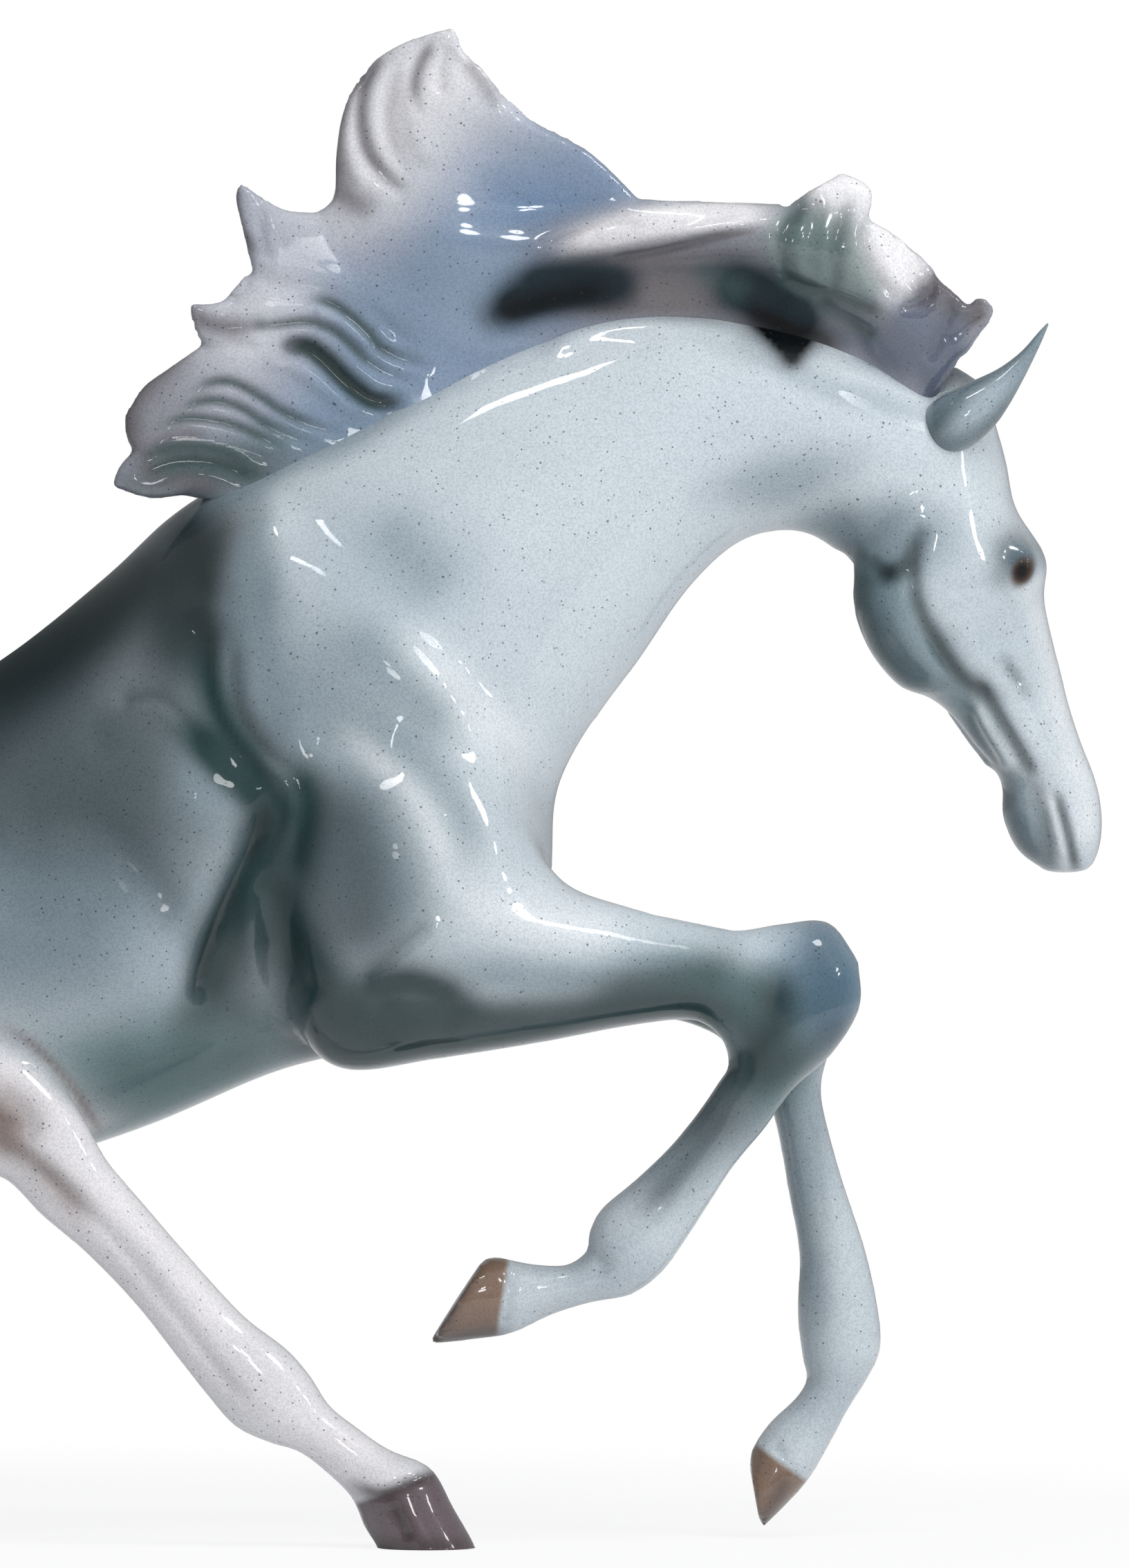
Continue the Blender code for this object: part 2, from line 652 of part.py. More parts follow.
for name, low, low_tip, high, high_tip, flutes in MANE:
    left = np.vstack([low, edge(low_tip)[1:]])
    right = np.vstack([high, edge(high_tip)[1:]])
    hair = lock(name, left, right, MANE_ROOT, MANE_TIP, flutes)
    clear_of(hair, body_form)
    clear_of(hair, head_form)
    for ear_name in ("right_ear", "left_ear"):
        if name == "forelock":
            clear_of(hair, bpy.data.objects[ear_name])
    glaze(largest_body(hair), WHITE)


# Tail: four locks from the dock, the two longest standing on the ground
T0 = edge([(-182, 0, 148), (-214, 4, 152), (-238, 12, 132), (-246, 20, 104)])
T1 = edge([(-182, -1, 158), (-216, 2, 166), (-246, 8, 148), (-258, 14, 116)])
T2 = edge([(-182, 0, 168), (-216, 0, 180), (-254, 1, 164), (-271, 2, 128)])
T3 = edge([(-182, 1, 178), (-216, -2, 194), (-262, -6, 182), (-284, -10, 142)])
T4 = edge([(-180, 2, 187), (-214, -4, 207), (-266, -12, 202), (-298, -18, 158)])
TAIL = [
    ("tail_inner_lock", T0, [(-246, 20, 104), (-244, 26, 74), (-224, 30, 46)],
     T1, [(-258, 14, 116), (-258, 22, 78), (-226, 30, 43)], 3),
    ("tail_front_foot_lock", T1, [(-258, 14, 116), (-262, 18, 78), (-252, 18, 40), (-232, 14, -4)],
     T2, [(-271, 2, 128), (-277, 8, 84), (-271, 12, 42), (-252, 12, -4)], 4),
    ("tail_rear_foot_lock", T2, [(-271, 2, 128), (-283, 2, 84), (-286, -5, 42), (-277, -9, -4)],
     T3, [(-284, -10, 142), (-299, -11, 98), (-307, -13, 50), (-303, -13, -4)], 4),
    ("tail_outer_lock", T3, [(-284, -10, 142), (-302, -15, 106), (-312, -19, 76), (-334, -22, 48)],
     T4, [(-298, -18, 158), (-320, -22, 118), (-325, -24, 84), (-335, -23, 51)], 3),
]
ground = half_space((0, 0, 0), (0, 0, -1))
for name, low, low_tip, high, high_tip, flutes in TAIL:
    left = np.vstack([low, edge(low_tip, 12)[1:]])
    right = np.vstack([high, edge(high_tip, 12)[1:]])
    hair = lock(name, left, right, TAIL_ROOT, TAIL_TIP, flutes)
    clear_of(hair, body_form)
    boolean(hair, ground, "DIFFERENCE")
    glaze(largest_body(hair), WHITE)
discard(ground, head_form, body_form)


# Origin under the middle of the bounding box
corners = [v.co for obj in bpy.data.objects for v in obj.data.vertices]
middle_x = (min(c.x for c in corners) + max(c.x for c in corners)) / 2
middle_y = (min(c.y for c in corners) + max(c.y for c in corners)) / 2
for obj in bpy.data.objects:
    for vert in obj.data.vertices:
        vert.co.x -= middle_x
        vert.co.y -= middle_y
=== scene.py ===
# Porcelain horse with lifted forehand, folded forelegs, blown mane and tail: the glazed figure.
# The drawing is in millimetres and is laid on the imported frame. The horse faces +X, its left is +Y,
# and side-view points are (x, z).
import math

import bmesh
import bpy
import numpy as np
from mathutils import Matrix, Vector
from mathutils.bvhtree import BVHTree


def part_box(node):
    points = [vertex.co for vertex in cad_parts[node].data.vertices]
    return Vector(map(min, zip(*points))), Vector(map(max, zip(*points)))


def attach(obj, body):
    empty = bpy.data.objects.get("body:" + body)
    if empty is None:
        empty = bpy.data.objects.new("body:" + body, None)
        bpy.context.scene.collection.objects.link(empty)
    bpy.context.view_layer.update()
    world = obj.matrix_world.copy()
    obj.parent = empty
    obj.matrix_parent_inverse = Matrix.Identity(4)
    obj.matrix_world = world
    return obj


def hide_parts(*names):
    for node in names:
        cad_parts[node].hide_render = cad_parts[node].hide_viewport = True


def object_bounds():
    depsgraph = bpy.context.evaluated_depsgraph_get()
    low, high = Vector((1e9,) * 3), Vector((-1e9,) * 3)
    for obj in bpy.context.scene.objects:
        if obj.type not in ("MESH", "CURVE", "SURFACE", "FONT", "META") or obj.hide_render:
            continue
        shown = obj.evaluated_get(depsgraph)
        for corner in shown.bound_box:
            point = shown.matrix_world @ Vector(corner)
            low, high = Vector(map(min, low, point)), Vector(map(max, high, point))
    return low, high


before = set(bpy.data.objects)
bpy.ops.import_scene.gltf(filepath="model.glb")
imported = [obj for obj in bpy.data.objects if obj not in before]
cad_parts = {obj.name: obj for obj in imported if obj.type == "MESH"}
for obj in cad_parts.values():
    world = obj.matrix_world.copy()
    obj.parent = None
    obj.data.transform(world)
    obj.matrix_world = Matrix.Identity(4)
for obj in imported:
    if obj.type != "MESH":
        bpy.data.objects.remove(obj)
cad_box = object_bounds()


# Horse: slip-cast porcelain in one glazed skin. The hind legs come first, the right one reaching forward
# and the left one bent under the rump; they are luted to the thighs and their hooves stand flat.
MM = 0.001
RING = 40                 # points round a section
STEPS = 6                 # rings for each interval of a section table
SOLE_DEPTH = 5            # a hoof is drawn on below the ground, then cut flat at it


# Section of a loft: front and back points in the side view, half width, centre y, turn of the side axis
def section(front, back, width, y=0.0, power=2.0, turn=0.0):
    return [front[0], front[1], back[0], back[1], width, y, power, turn]


# Catmull-Rom rows between the given rows
def flow(rows, steps):
    v = np.asarray(rows, float)
    ext = np.vstack([2 * v[0] - v[1], v, 2 * v[-1] - v[-2]])
    out = []
    for i in range(len(v) - 1):
        a, b, c, d = ext[i:i + 4]
        for s in range(steps):
            t = s / steps
            out.append(0.5 * (2 * b + (c - a) * t + (2 * a - 5 * b + 4 * c - d) * t * t
                              + (3 * b - a - 3 * c + d) * t ** 3))
    out.append(v[-1])
    return np.array(out)


# Points of one ring, with the outline of its front half set by its power
def ring_of(row, count):
    fx, fz, bx, bz, width, y, power, turn = row
    lean = math.tan(math.radians(turn))
    mid = (fx + bx) / 2
    front = np.array([fx, y + (fx - mid) * lean, fz])
    back = np.array([bx, y + (bx - mid) * lean, bz])
    side = np.array([-math.sin(math.radians(turn)), math.cos(math.radians(turn)), 0.0])
    angle = 2 * math.pi * np.arange(count) / count
    c = np.cos(angle)
    s = np.sin(angle)
    p = np.where(c > 0, power, 2.0)
    across = np.sign(s) * np.abs(s) ** (2 / p)
    along = np.sign(c) * np.abs(c) ** (2 / p)
    return (front + back) / 2 + np.outer(along, (front - back) / 2) + np.outer(across, side * width)


# Points and faces of a closed skin over rings of equal count
def skin(rings):
    count = len(rings[0])
    points = np.vstack(rings + [rings[0].mean(axis=0), rings[-1].mean(axis=0)])
    last = (len(rings) - 1) * count
    faces = []
    for k in range(count):
        n = (k + 1) % count
        for i in range(0, last, count):
            faces.append((i + k, i + n, i + n + count, i + k + count))
        faces.append((len(points) - 2, n, k))
        faces.append((len(points) - 1, last + k, last + n))
    return points, faces


# Closed loft through a section table, in drawing millimetres
def loft(rows, count=RING, steps=STEPS):
    return skin([ring_of(row, count) for row in flow(rows, steps)])


# Sections that share one centre y
def sections(y, rows):
    return [section(front, back, width, y) for front, back, width in rows]


RIGHT_HIND_Y = -38
LEFT_HIND_Y = 44
LEFT_HIND_BACK = 205      # how far the left pastern and hoof stand behind the right ones
RIGHT_HIND = [
    section((-15, 177), (-42, 134), 16, -46),
    section((-3, 166), (-36, 121), 14.5, -46),
    section((12.5, 155.5), (-18, 114), 13.5, -45),
    section((25.5, 140.5), (0, 118.5), 11.8, -44),
    section((34.5, 124), (14.5, 105.5), 9.8, -43),
    section((46.5, 109.5), (28, 94), 9.2, -42),
    section((62, 91.5), (43.5, 78), 9, -41),
    section((78, 74), (56, 62), 9.3, -40),
    section((91.5, 63.5), (66, 49.3), 11.1, -39),
    section((99.5, 54.3), (75.5, 38.6), 11.7, -38.5),
    section((105.3, 45.3), (86.5, 33.3), 10.2, RIGHT_HIND_Y),
    section((113.3, 38.8), (96, 30.3), 9.2, RIGHT_HIND_Y),
]
LEFT_HIND = sections(LEFT_HIND_Y, [
    ((-202, 118), (-213, 107), 7),
    ((-188, 113), (-212, 90), 12.8),
    ((-174, 103), (-196, 76.5), 13.2),
    ((-161, 90.5), (-178, 69.5), 10.8),
    ((-148, 80), (-162, 61.5), 9.4),
    ((-133, 69.5), (-145, 53.5), 9.1),
    ((-118, 63.8), (-138, 47.5), 10.9),
    ((-106.5, 55), (-129, 38.6), 11.7),
    ((-100.3, 45.3), (-118.7, 33.3), 10.2),
    ((-92, 38.8), (-109.3, 30.3), 9.2),
])
HOOF = [
    # pastern, coronet, wall, ground and the part cut off below it
    ((124, 31.3), (106, 22.5), 9.8),
    ((137.5, 25.3), (112.7, 15.4), 12.2),
    ((144.8, 12.7), (116.5, 6.5), 14.2),
    ((151.8, 0), (120.7, 0), 15.2),
    ((151.2, -SOLE_DEPTH), (121.2, -SOLE_DEPTH), 15),
]
RIGHT_HIND += sections(RIGHT_HIND_Y, HOOF)
LEFT_HIND += sections(LEFT_HIND_Y, [((fx - LEFT_HIND_BACK, fz), (bx - LEFT_HIND_BACK, bz), width)
                                    for (fx, fz), (bx, bz), width in HOOF])

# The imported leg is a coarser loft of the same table, and its box gives the drawing's place in the frame
PACKED_RING = 18
PACKED_STEPS = 2
packed_leg = loft(RIGHT_HIND[:-1], PACKED_RING, PACKED_STEPS)[0]
leg_low, leg_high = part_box("right_hind_leg")
ORIGIN = np.array([packed_leg[:, 0].max() - leg_high[0] / MM, packed_leg[:, 1].min() - leg_low[1] / MM, 0.0])


# Mesh object from points in drawing millimetres
def shape(name, points, faces):
    mesh = bpy.data.meshes.new(name)
    mesh.from_pydata(((np.asarray(points) - ORIGIN) * MM).tolist(), [], faces)
    obj = bpy.data.objects.new(name, mesh)
    bpy.context.scene.collection.objects.link(obj)
    return obj


# Forelegs: upper arms in one skin with the trunk, forearms level, cannons folded down, hooves closed
RIGHT_ARM = [
    section((120, 285), (86, 232), 20, -28),
    section((146, 262), (88, 200), 27, -32),
    section((164, 236), (92, 172), 30, -34),
    section((178, 213), (108, 152), 29, -33),
    section((194, 205), (140, 155), 25, -31),
    section((213, 199.5), (172, 160), 21, -28),
]
RIGHT_FOREARM = RIGHT_ARM[-2:] + [
    section((233, 195.5), (199, 165), 17.5, -24),
    section((249, 197.5), (220, 167), 16, -20),
    section((264, 198), (229, 162), 15.5, -18),
    section((273.5, 186), (232, 156), 15.5, -18),
]
RIGHT_CANNON = RIGHT_FOREARM[-1:] + sections(-18, [
    ((274, 171), (232, 151), 15),
    ((265, 156), (230, 148.5), 13),
    ((253, 145), (228, 145.5), 11.5),
    ((243.5, 132), (222.5, 137.5), 9.6),
    ((234, 120.5), (213.5, 126.5), 8.9),
    ((225.5, 107.5), (202, 115.5), 9.2),
    ((219, 97.5), (191.5, 106.5), 11),
    ((211, 86.5), (187.5, 98), 11.5),
    ((201, 79.3), (187.5, 93.7), 10),
    ((189, 77), (181, 89), 8.6),
    ((176, 73), (171, 89), 9),
    ((163, 67), (163, 90.5), 11),
    ((150, 65), (158, 91.5), 12.5),
    ((136.5, 63.5), (154, 90.5), 13.5),
])
LEFT_ARM = [
    section((120, 285), (88, 232), 20, 28),
    section((148, 244), (94, 198), 25, 30),
    section((172, 209), (112, 164), 26, 31),
    section((193, 202), (144, 162), 23, 29),
    section((216, 197.5), (178, 166), 19, 26),
]
LEFT_FOREARM = LEFT_ARM[-2:] + [
    section((240, 193), (211, 166), 16, 22),
    section((258, 191), (226, 162), 15.5, 18),
    section((268.5, 180), (233, 157), 15.5, 16.5),
]
LEFT_CANNON = LEFT_FOREARM[-1:] + [
    section((269, 168), (237, 152), 14, 16),
    section((264.5, 155), (240.5, 147), 11.5, 15.5),
    section((262, 143), (245.5, 139), 9.4, 15.5),
    section((265, 128), (248.5, 128), 8.4, 16),
    section((270, 111), (251.5, 111), 8.2, 17),
    section((276.5, 91), (255, 91), 9, 18),
    section((280.5, 72), (254.5, 72), 10.7, 18.5),
    section((281, 60), (256, 58), 11.2, 18.5),
    section((277, 51), (257.5, 50.5), 10, 18.5),
    section((270.8, 41), (253.5, 44), 8.8, 18.5),
    section((265.5, 31), (245.5, 36.5), 9.2, 18.5),
    section((258.5, 19), (240, 28), 11, 18.5),
    section((251, 10.5), (239.5, 23.5), 12.5, 18.5),
    section((242.8, 2.5), (239, 23.5), 12.8, 18.5),
]

# Trunk, neck and thighs: one hollow slip-cast shell, its muscles softened into one another by the glaze
TRUNK = [
    section((-208, 156), (-202, 128), 18),
    section((-204, 172), (-186, 106), 38),
    section((-188, 192), (-158, 96), 52),
    section((-160, 211), (-122, 97), 60),
    section((-124, 227), (-84, 101), 60),
    section((-86, 238), (-44, 107), 57),
    section((-42, 257), (2, 118), 58),
    section((0, 281), (46, 132), 60),
    section((34, 308), (86, 149), 57),
    section((58, 330), (116, 158), 52, power=1.7),
    section((84, 342), (142, 172), 50, power=1.7),
    section((112, 330), (164, 190), 47),
    section((140, 300), (174, 206), 41),
    section((158, 268), (177, 222), 28),
]
NECK = [
    section((44, 318), (138, 176), 44, power=1.7),
    section((72, 338), (172, 212), 44, 1, 1.7),
    section((98, 352), (178, 240), 40, 2, 1.6),
    section((125, 364), (190, 262), 35, 5, 1.6, 3),
    section((152, 376), (204, 281), 31, 8, 1.6, 6),
    section((180, 386), (219, 303), 28, 12, 1.6, 10),
    section((206, 393), (235, 318), 26, 16, 1.6, 15),
    section((230, 393), (251, 322), 25, 20, 1.6, 20),
    section((254, 388), (263, 319), 24, 23, 1.7, 25),
    section((277, 379), (273, 313), 23, 26, 1.8, 28),
    section((298, 366), (290, 322), 19, 28, 2, 32),
]
RIGHT_THIGH = [
    section((-180, 170), (-170, 122), 16, -20),
    section((-168, 186), (-156, 104), 27, -28),
    section((-144, 198), (-130, 100), 34, -34),
    section((-112, 210), (-100, 112), 35, -38),
    section((-80, 218), (-82, 132), 30, -41),
    section((-54, 209), (-69, 145), 24, -43),
    section((-32, 194), (-55, 145), 20, -45),
    RIGHT_HIND[0],
    section((-4, 166), (-36, 121), 14.5, -46),
]
LEFT_THIGH = [
    section((-146, 206), (-196, 128), 26, 24),
    section((-116, 196), (-184, 116), 34, 33),
    section((-86, 168), (-160, 104), 35, 38),
    section((-66, 138), (-124, 94), 30, 41),
    section((-60, 112), (-96, 78), 21, 43),
    section((-66, 94), (-84, 74), 12, 44),
]
LEFT_GASKIN = [
    section((-64, 110), (-74, 76), 14, 44),
    section((-86, 116), (-88, 67), 22, 44),
    section((-113, 111), (-116, 66), 22, 44),
    section((-140, 106), (-142, 72), 17.5, 44),
    section((-164, 106), (-164, 80), 14, 44),
    section((-186, 110), (-184, 86), 12.8, 44),
]
BIG_RING = 64             # points round the trunk, the neck and the head
BODY_GRID = 0.0020        # grid on which the big forms melt together
BODY_SOFTENING = 16
FIGURE_GRID = 0.00185     # grid of the finished skin
FIGURE_SOFTENING = 3


# Applied result of one modifier
def applied(obj, kind, **settings):
    modifier = obj.modifiers.new(kind, kind)
    for key, value in settings.items():
        setattr(modifier, key, value)
    graph = bpy.context.evaluated_depsgraph_get()
    mesh = bpy.data.meshes.new_from_object(obj.evaluated_get(graph))
    obj.modifiers.clear()
    obj.data = mesh
    return obj


# One skin from several overlapping forms, each a pair of points and faces
def melted(name, forms, grid, softening):
    points = []
    faces = []
    start = 0
    for form_points, form_faces in forms:
        points.append(form_points)
        faces += [tuple(start + i for i in face) for face in form_faces]
        start += len(form_points)
    obj = shape(name, np.vstack(points), faces)
    applied(obj, "REMESH", mode="VOXEL", voxel_size=grid)
    return applied(obj, "SMOOTH", factor=0.5, iterations=softening)


# Points in drawing millimetres and faces of a finished skin
def form_of(obj):
    points = np.empty(len(obj.data.vertices) * 3)
    obj.data.vertices.foreach_get("co", points)
    faces = [tuple(poly.vertices) for poly in obj.data.polygons]
    return points.reshape(-1, 3) / MM + ORIGIN, faces


trunk_forms = [loft(rows, BIG_RING) for rows in (TRUNK, NECK)]
trunk_forms += [loft(rows) for rows in (RIGHT_ARM, LEFT_ARM, RIGHT_THIGH, LEFT_THIGH, LEFT_GASKIN)]
torso = melted("torso", trunk_forms, BODY_GRID, BODY_SOFTENING)
torso_form = form_of(torso)
bpy.data.objects.remove(torso, do_unlink=True)


# Head: a casting of its own, turned to the left and luted over the neck's open end
HEAD_TURN = 32
HEAD_ROWS = [
    # front, back, half width, centre y
    ((304, 375), (290, 362), 8, 28),
    ((313, 368), (281, 345), 15, 29),
    ((315.5, 358), (275, 331), 19, 29),
    ((318.7, 345), (273.5, 318), 22, 30),
    ((321.6, 330), (275, 306), 23.5, 31),
    ((331.6, 314), (275.5, 296), 23.5, 33),
    ((331.4, 301), (280, 283), 21.5, 35),
    ((334.6, 286), (289, 272), 19.5, 37.5),
    ((337.2, 276.5), (298, 268.5), 17.5, 39.5),
    ((339.4, 267), (305.5, 263), 16.5, 41.5),
    ((343.2, 255), (313.2, 253), 15.5, 44),
    ((348.4, 241.5), (322, 241.5), 14.5, 47),
    ((350.6, 231), (322.6, 230), 14.5, 49),
    ((350, 222), (327.2, 219.5), 14, 50),
    ((347.8, 214), (333.5, 213.6), 9.5, 50.5),
    ((344.5, 211.8), (337, 211.8), 4, 51),
]
HEAD = [section(*row, turn=HEAD_TURN) for row in HEAD_ROWS]
limb_forms = [loft(rows) for rows in (RIGHT_FOREARM, RIGHT_CANNON, LEFT_FOREARM, LEFT_CANNON,
                                      RIGHT_HIND, LEFT_HIND)]
horse = melted("horse", [torso_form, loft(HEAD, BIG_RING)] + limb_forms, FIGURE_GRID, FIGURE_SOFTENING)


# Test that tells whether a place on the mesh is inside a box of the drawing
def inside(box):
    low, high = [(Vector(corner) - Vector(ORIGIN)) * MM for corner in box]
    return lambda place: all(low[k] < place[k] < high[k] for k in range(3))


def softened(bm, verts, rounds):
    for turn in range(rounds):
        bmesh.ops.smooth_vert(bm, verts=verts, factor=0.5, use_axis_x=True, use_axis_y=True, use_axis_z=True)


# Evens out the join of the neck and the breast
def eased(obj, box, rounds):
    bm = bmesh.new()
    bm.from_mesh(obj.data)
    within_box = inside(box)
    softened(bm, [v for v in bm.verts if within_box(v.co)], rounds)
    bm.to_mesh(obj.data)
    bm.free()


# Quarters the faces inside the given boxes and rounds the new points off
def finer(obj, boxes):
    bm = bmesh.new()
    bm.from_mesh(obj.data)
    chosen = set()
    for within_box in [inside(box) for box in boxes]:
        for face in bm.faces:
            if within_box(face.calc_center_median()):
                chosen.update(face.edges)
    made = bmesh.ops.subdivide_edges(bm, edges=list(chosen), cuts=1, use_grid_fill=True)
    softened(bm, [item for item in made["geom_inner"] if isinstance(item, bmesh.types.BMVert)], 3)
    bm.to_mesh(obj.data)
    bm.free()


BREAST = ((150, -80, 216), (190, 80, 274))
FINE_BOXES = [
    # head, right hind hoof, right fore hoof, left fore hoof
    ((268, -40, 203), (362, 90, 345)),
    ((104, -70, -1), (160, -10, 32)),
    ((132, -40, 58), (172, 10, 98)),
    ((232, 0, -1), (266, 50, 38)),
]
eased(horse, BREAST, 30)
finer(horse, FINE_BOXES)

# Modelling strokes: radius, depth and path in the side view, grooves below zero and ridges above
BODY_STROKES = [
    # valley behind the shoulder and its sharp crease
    (8, -3.6, [(66, 298), (66, 283), (70, 266), (78, 253), (86, 243)]),
    (3.0, -1.4, [(75.5, 290), (75.5, 277), (79, 263), (87, 252), (95, 244)]),
    (2.2, 1.3, [(71, 298), (70.5, 282), (71.5, 268), (76, 260), (83, 252), (90, 245), (93.5, 237), (92, 226),
                (89, 215)]),
    # fold of skin from the barrel to the elbow
    (7, -3.8, [(83, 236), (80, 218), (74, 202), (68, 186), (63, 168)]),
    (2.2, -2.2, [(85, 242), (84, 229), (80, 217), (72.5, 202), (66, 184), (63, 170)]),
    (3.2, 1.8, [(82, 222), (80, 204), (80, 188), (86, 174), (98, 160)]),
    (5.5, -2.2, [(88, 216), (88, 202), (93, 188), (103, 172)]),
    # ribs and flank
    (3, -1.4, [(36, 269), (46, 270.5), (54, 269), (60, 263), (70, 251)]),
    (2, 0.8, [(40, 266), (50, 267.5), (57, 263), (64, 256)]),
    (5, -0.8, [(30, 250), (33, 255), (32, 261), (37, 268), (45, 270)]),
    (7, -1.6, [(2, 228), (18, 233), (33, 230), (42, 222), (50, 213), (58, 201)]),
    (5, -0.6, [(0, 204), (11, 201), (22, 199), (32, 200)]),
    # muscle of the upper arm, the elbow and the fold above the forearm
    (3.4, -1.3, [(138, 200), (130, 194), (122, 187.5), (115, 181)]),
    (2.4, 1.2, [(142, 200), (134, 192), (125, 184), (117, 179)]),
    (6, -1.8, [(116, 172), (126, 177), (138, 175), (150, 168)]),
    # shoulder blade, point of the shoulder and breast
    (14, 2.2, [(77, 314.5), (105, 302), (131, 281), (150, 264)]),
    (7, -2.0, [(128, 262), (137, 248), (146, 234), (147, 219), (142, 206)]),
    (8, -2.0, [(94, 258), (106, 258), (120, 250), (132, 243)]),
    (7, 1.4, [(71, 300), (80, 318), (92, 335)]),
    # rounded upper edge of the neck in front of the mane
    (3.2, 1.6, [(172, 377), (180, 382), (190, 386.5), (204, 387.5), (222, 386.5), (238, 384)]),
]
BODY_SWELLS = [
    ((62, 238), 13, 13, 4.6),
    ((45, 186), 22, 20, 2.8),
    ((20, 250), 22, 12, 1.2),
    ((117, 222), 17, 20, 4.2),
    ((108, 282), 24, 22, 2.2),
    ((152, 230), 14, 22, 2.4),
    ((104, 174), 11, 15, 3.0),
    ((166, 196), 28, 9, 2.2),
    ((132, 315), 13, 15, -0.9),
]
LEG_STROKES = [
    (2.6, -1.2, [(5, 129), (20, 116.5), (40, 96.5), (60, 71.5), (75, 51.5), (86.2, 41.5)]),
    (4.0, 0.9, [(17.5, 125.2), (50, 91.5), (75, 60.2)]),
    (1.8, -0.9, [(110.8, 15.8), (120, 18.2), (130, 21.5), (138, 23.5)]),
    (2.0, -0.8, [(125, 15.2), (128, 9), (130.5, 2.8)]),
    (3.0, -1.0, [(0, 147.8), (7.5, 142.8), (13, 135.2), (10, 129)]),
    (5, -1.0, [(168.5, 178.9), (193.5, 175.9), (215.5, 180.3), (231.7, 184.8)]),
    (2.2, -0.8, [(189.1, 93.6), (193.5, 88.5), (189.1, 84.1)]),
    (1.6, 0.7, [(231, 166.8), (233.5, 162.7)]),
    (1.6, 0.8, [(236.8, 156.8), (236.1, 148)]),
    (2.0, -0.8, [(161.2, 89.2), (162.2, 80.4), (160.4, 68.6)]),
    (2.0, -0.8, [(246.4, 31.9), (250.8, 24.6), (256.7, 17.9)]),
]
HEAD_STROKES = [
    # edge of the cheek, the throat latch and the hollow of the jaw
    (2.8, -1.7, [(291.8, 317), (291.5, 304), (293.5, 296), (298, 287), (304, 278), (310, 272.3),
                 (317, 268.5)]),
    (3.6, -1.7, [(295, 326), (290, 313), (285.5, 309), (277, 306)]),
    (2.4, -1.0, [(276, 314), (280, 310.5), (285, 307.5)]),
    (3.5, 0.9, [(284, 300), (287, 291), (293, 282), (301, 273)]),
    # bars of the jaw and the small mark of the cheek muscle
    (2.5, -1.8, [(311, 276), (318.5, 263), (322.5, 256), (326, 250), (331, 241)]),
    (2.2, -0.6, [(310, 266), (311.5, 260), (315, 253.5), (320, 246)]),
    (2.2, 1.5, [(311, 267), (315, 259), (320, 251), (324, 244.5)]),
    (2.0, -1.3, [(321, 279.5), (324, 276.5), (327, 272)]),
    # nostril, mouth and chin
    (1.8, -1.9, [(337, 238), (341, 227), (342.3, 220.5), (344.8, 210)]),
    (3.0, -0.9, [(330, 242), (333, 228), (336.5, 212)]),
    (2.2, 1.3, [(335.5, 236), (338, 226), (340, 215)]),
    (7.0, -1.0, [(312, 292), (320, 288), (329, 287)]),
    (5.0, 0.9, [(304, 297), (311, 285), (319, 276)]),
]
HEAD_PLANE = ((300, 31), 28)      # a point on the head's middle plane and its turn in degrees


# Weight of each point under a stroke, fading at both ends of its path
def under_stroke(side_view, radius, path, taper=0.16):
    line = flow([(x, 0.0, z) for x, z in path], 8)[:, [0, 2]]
    weight = np.zeros(len(side_view))
    low = line.min(axis=0) - 3 * radius
    high = line.max(axis=0) + 3 * radius
    near = np.flatnonzero(np.all((side_view > low) & (side_view < high), axis=1))
    if not len(near):
        return weight
    a = line[:-1]
    d = line[1:] - a
    lengths = np.linalg.norm(d, axis=1)
    start = np.concatenate([[0], np.cumsum(lengths)[:-1]])
    rel = side_view[near][:, None, :] - a[None]
    t = np.clip((rel * d).sum(axis=2) / (lengths ** 2 + 1e-9), 0, 1)
    gap = np.linalg.norm(rel - t[..., None] * d, axis=2)
    best = gap.argmin(axis=1)
    pick = np.arange(len(near))
    travel = (start[best] + t[pick, best] * lengths[best]) / lengths.sum()
    total = lengths.sum()
    ends = np.clip(np.minimum(travel, 1 - travel) * total / max(taper * total, 1.2 * radius), 0, 1)
    weight[near] = np.exp(-(gap[pick, best] / radius) ** 2) * ends * ends * (3 - 2 * ends)
    return weight


# Points in drawing millimetres and normals of a skin
def points_and_normals(obj):
    count = len(obj.data.vertices)
    points = np.empty(count * 3)
    obj.data.vertices.foreach_get("co", points)
    normals = np.empty(count * 3)
    obj.data.vertices.foreach_get("normal", normals)
    return points.reshape(-1, 3) / MM + ORIGIN, normals.reshape(-1, 3)


def put_points(obj, points):
    obj.data.vertices.foreach_set("co", ((points - ORIGIN) * MM).ravel())
    obj.data.update()


# Height that the strokes give to points seen from the right
def carving(points, normals, strokes):
    facing = np.clip((-normals[:, 1] - 0.02) / 0.4, 0, 1)
    height = np.zeros(len(points))
    for radius, depth, path in strokes:
        height += depth * under_stroke(points[:, [0, 2]], radius, path)
    return height * facing


# The same points seen from the other side of an upright plane
def mirrored(points, normals, through, turn):
    across = np.array([-math.sin(math.radians(turn)), math.cos(math.radians(turn)), 0.0])
    middle = np.array([through[0], through[1], 0.0])
    far = points - 2 * np.outer((points - middle) @ across, across)
    return far, normals - 2 * np.outer(normals @ across, across)


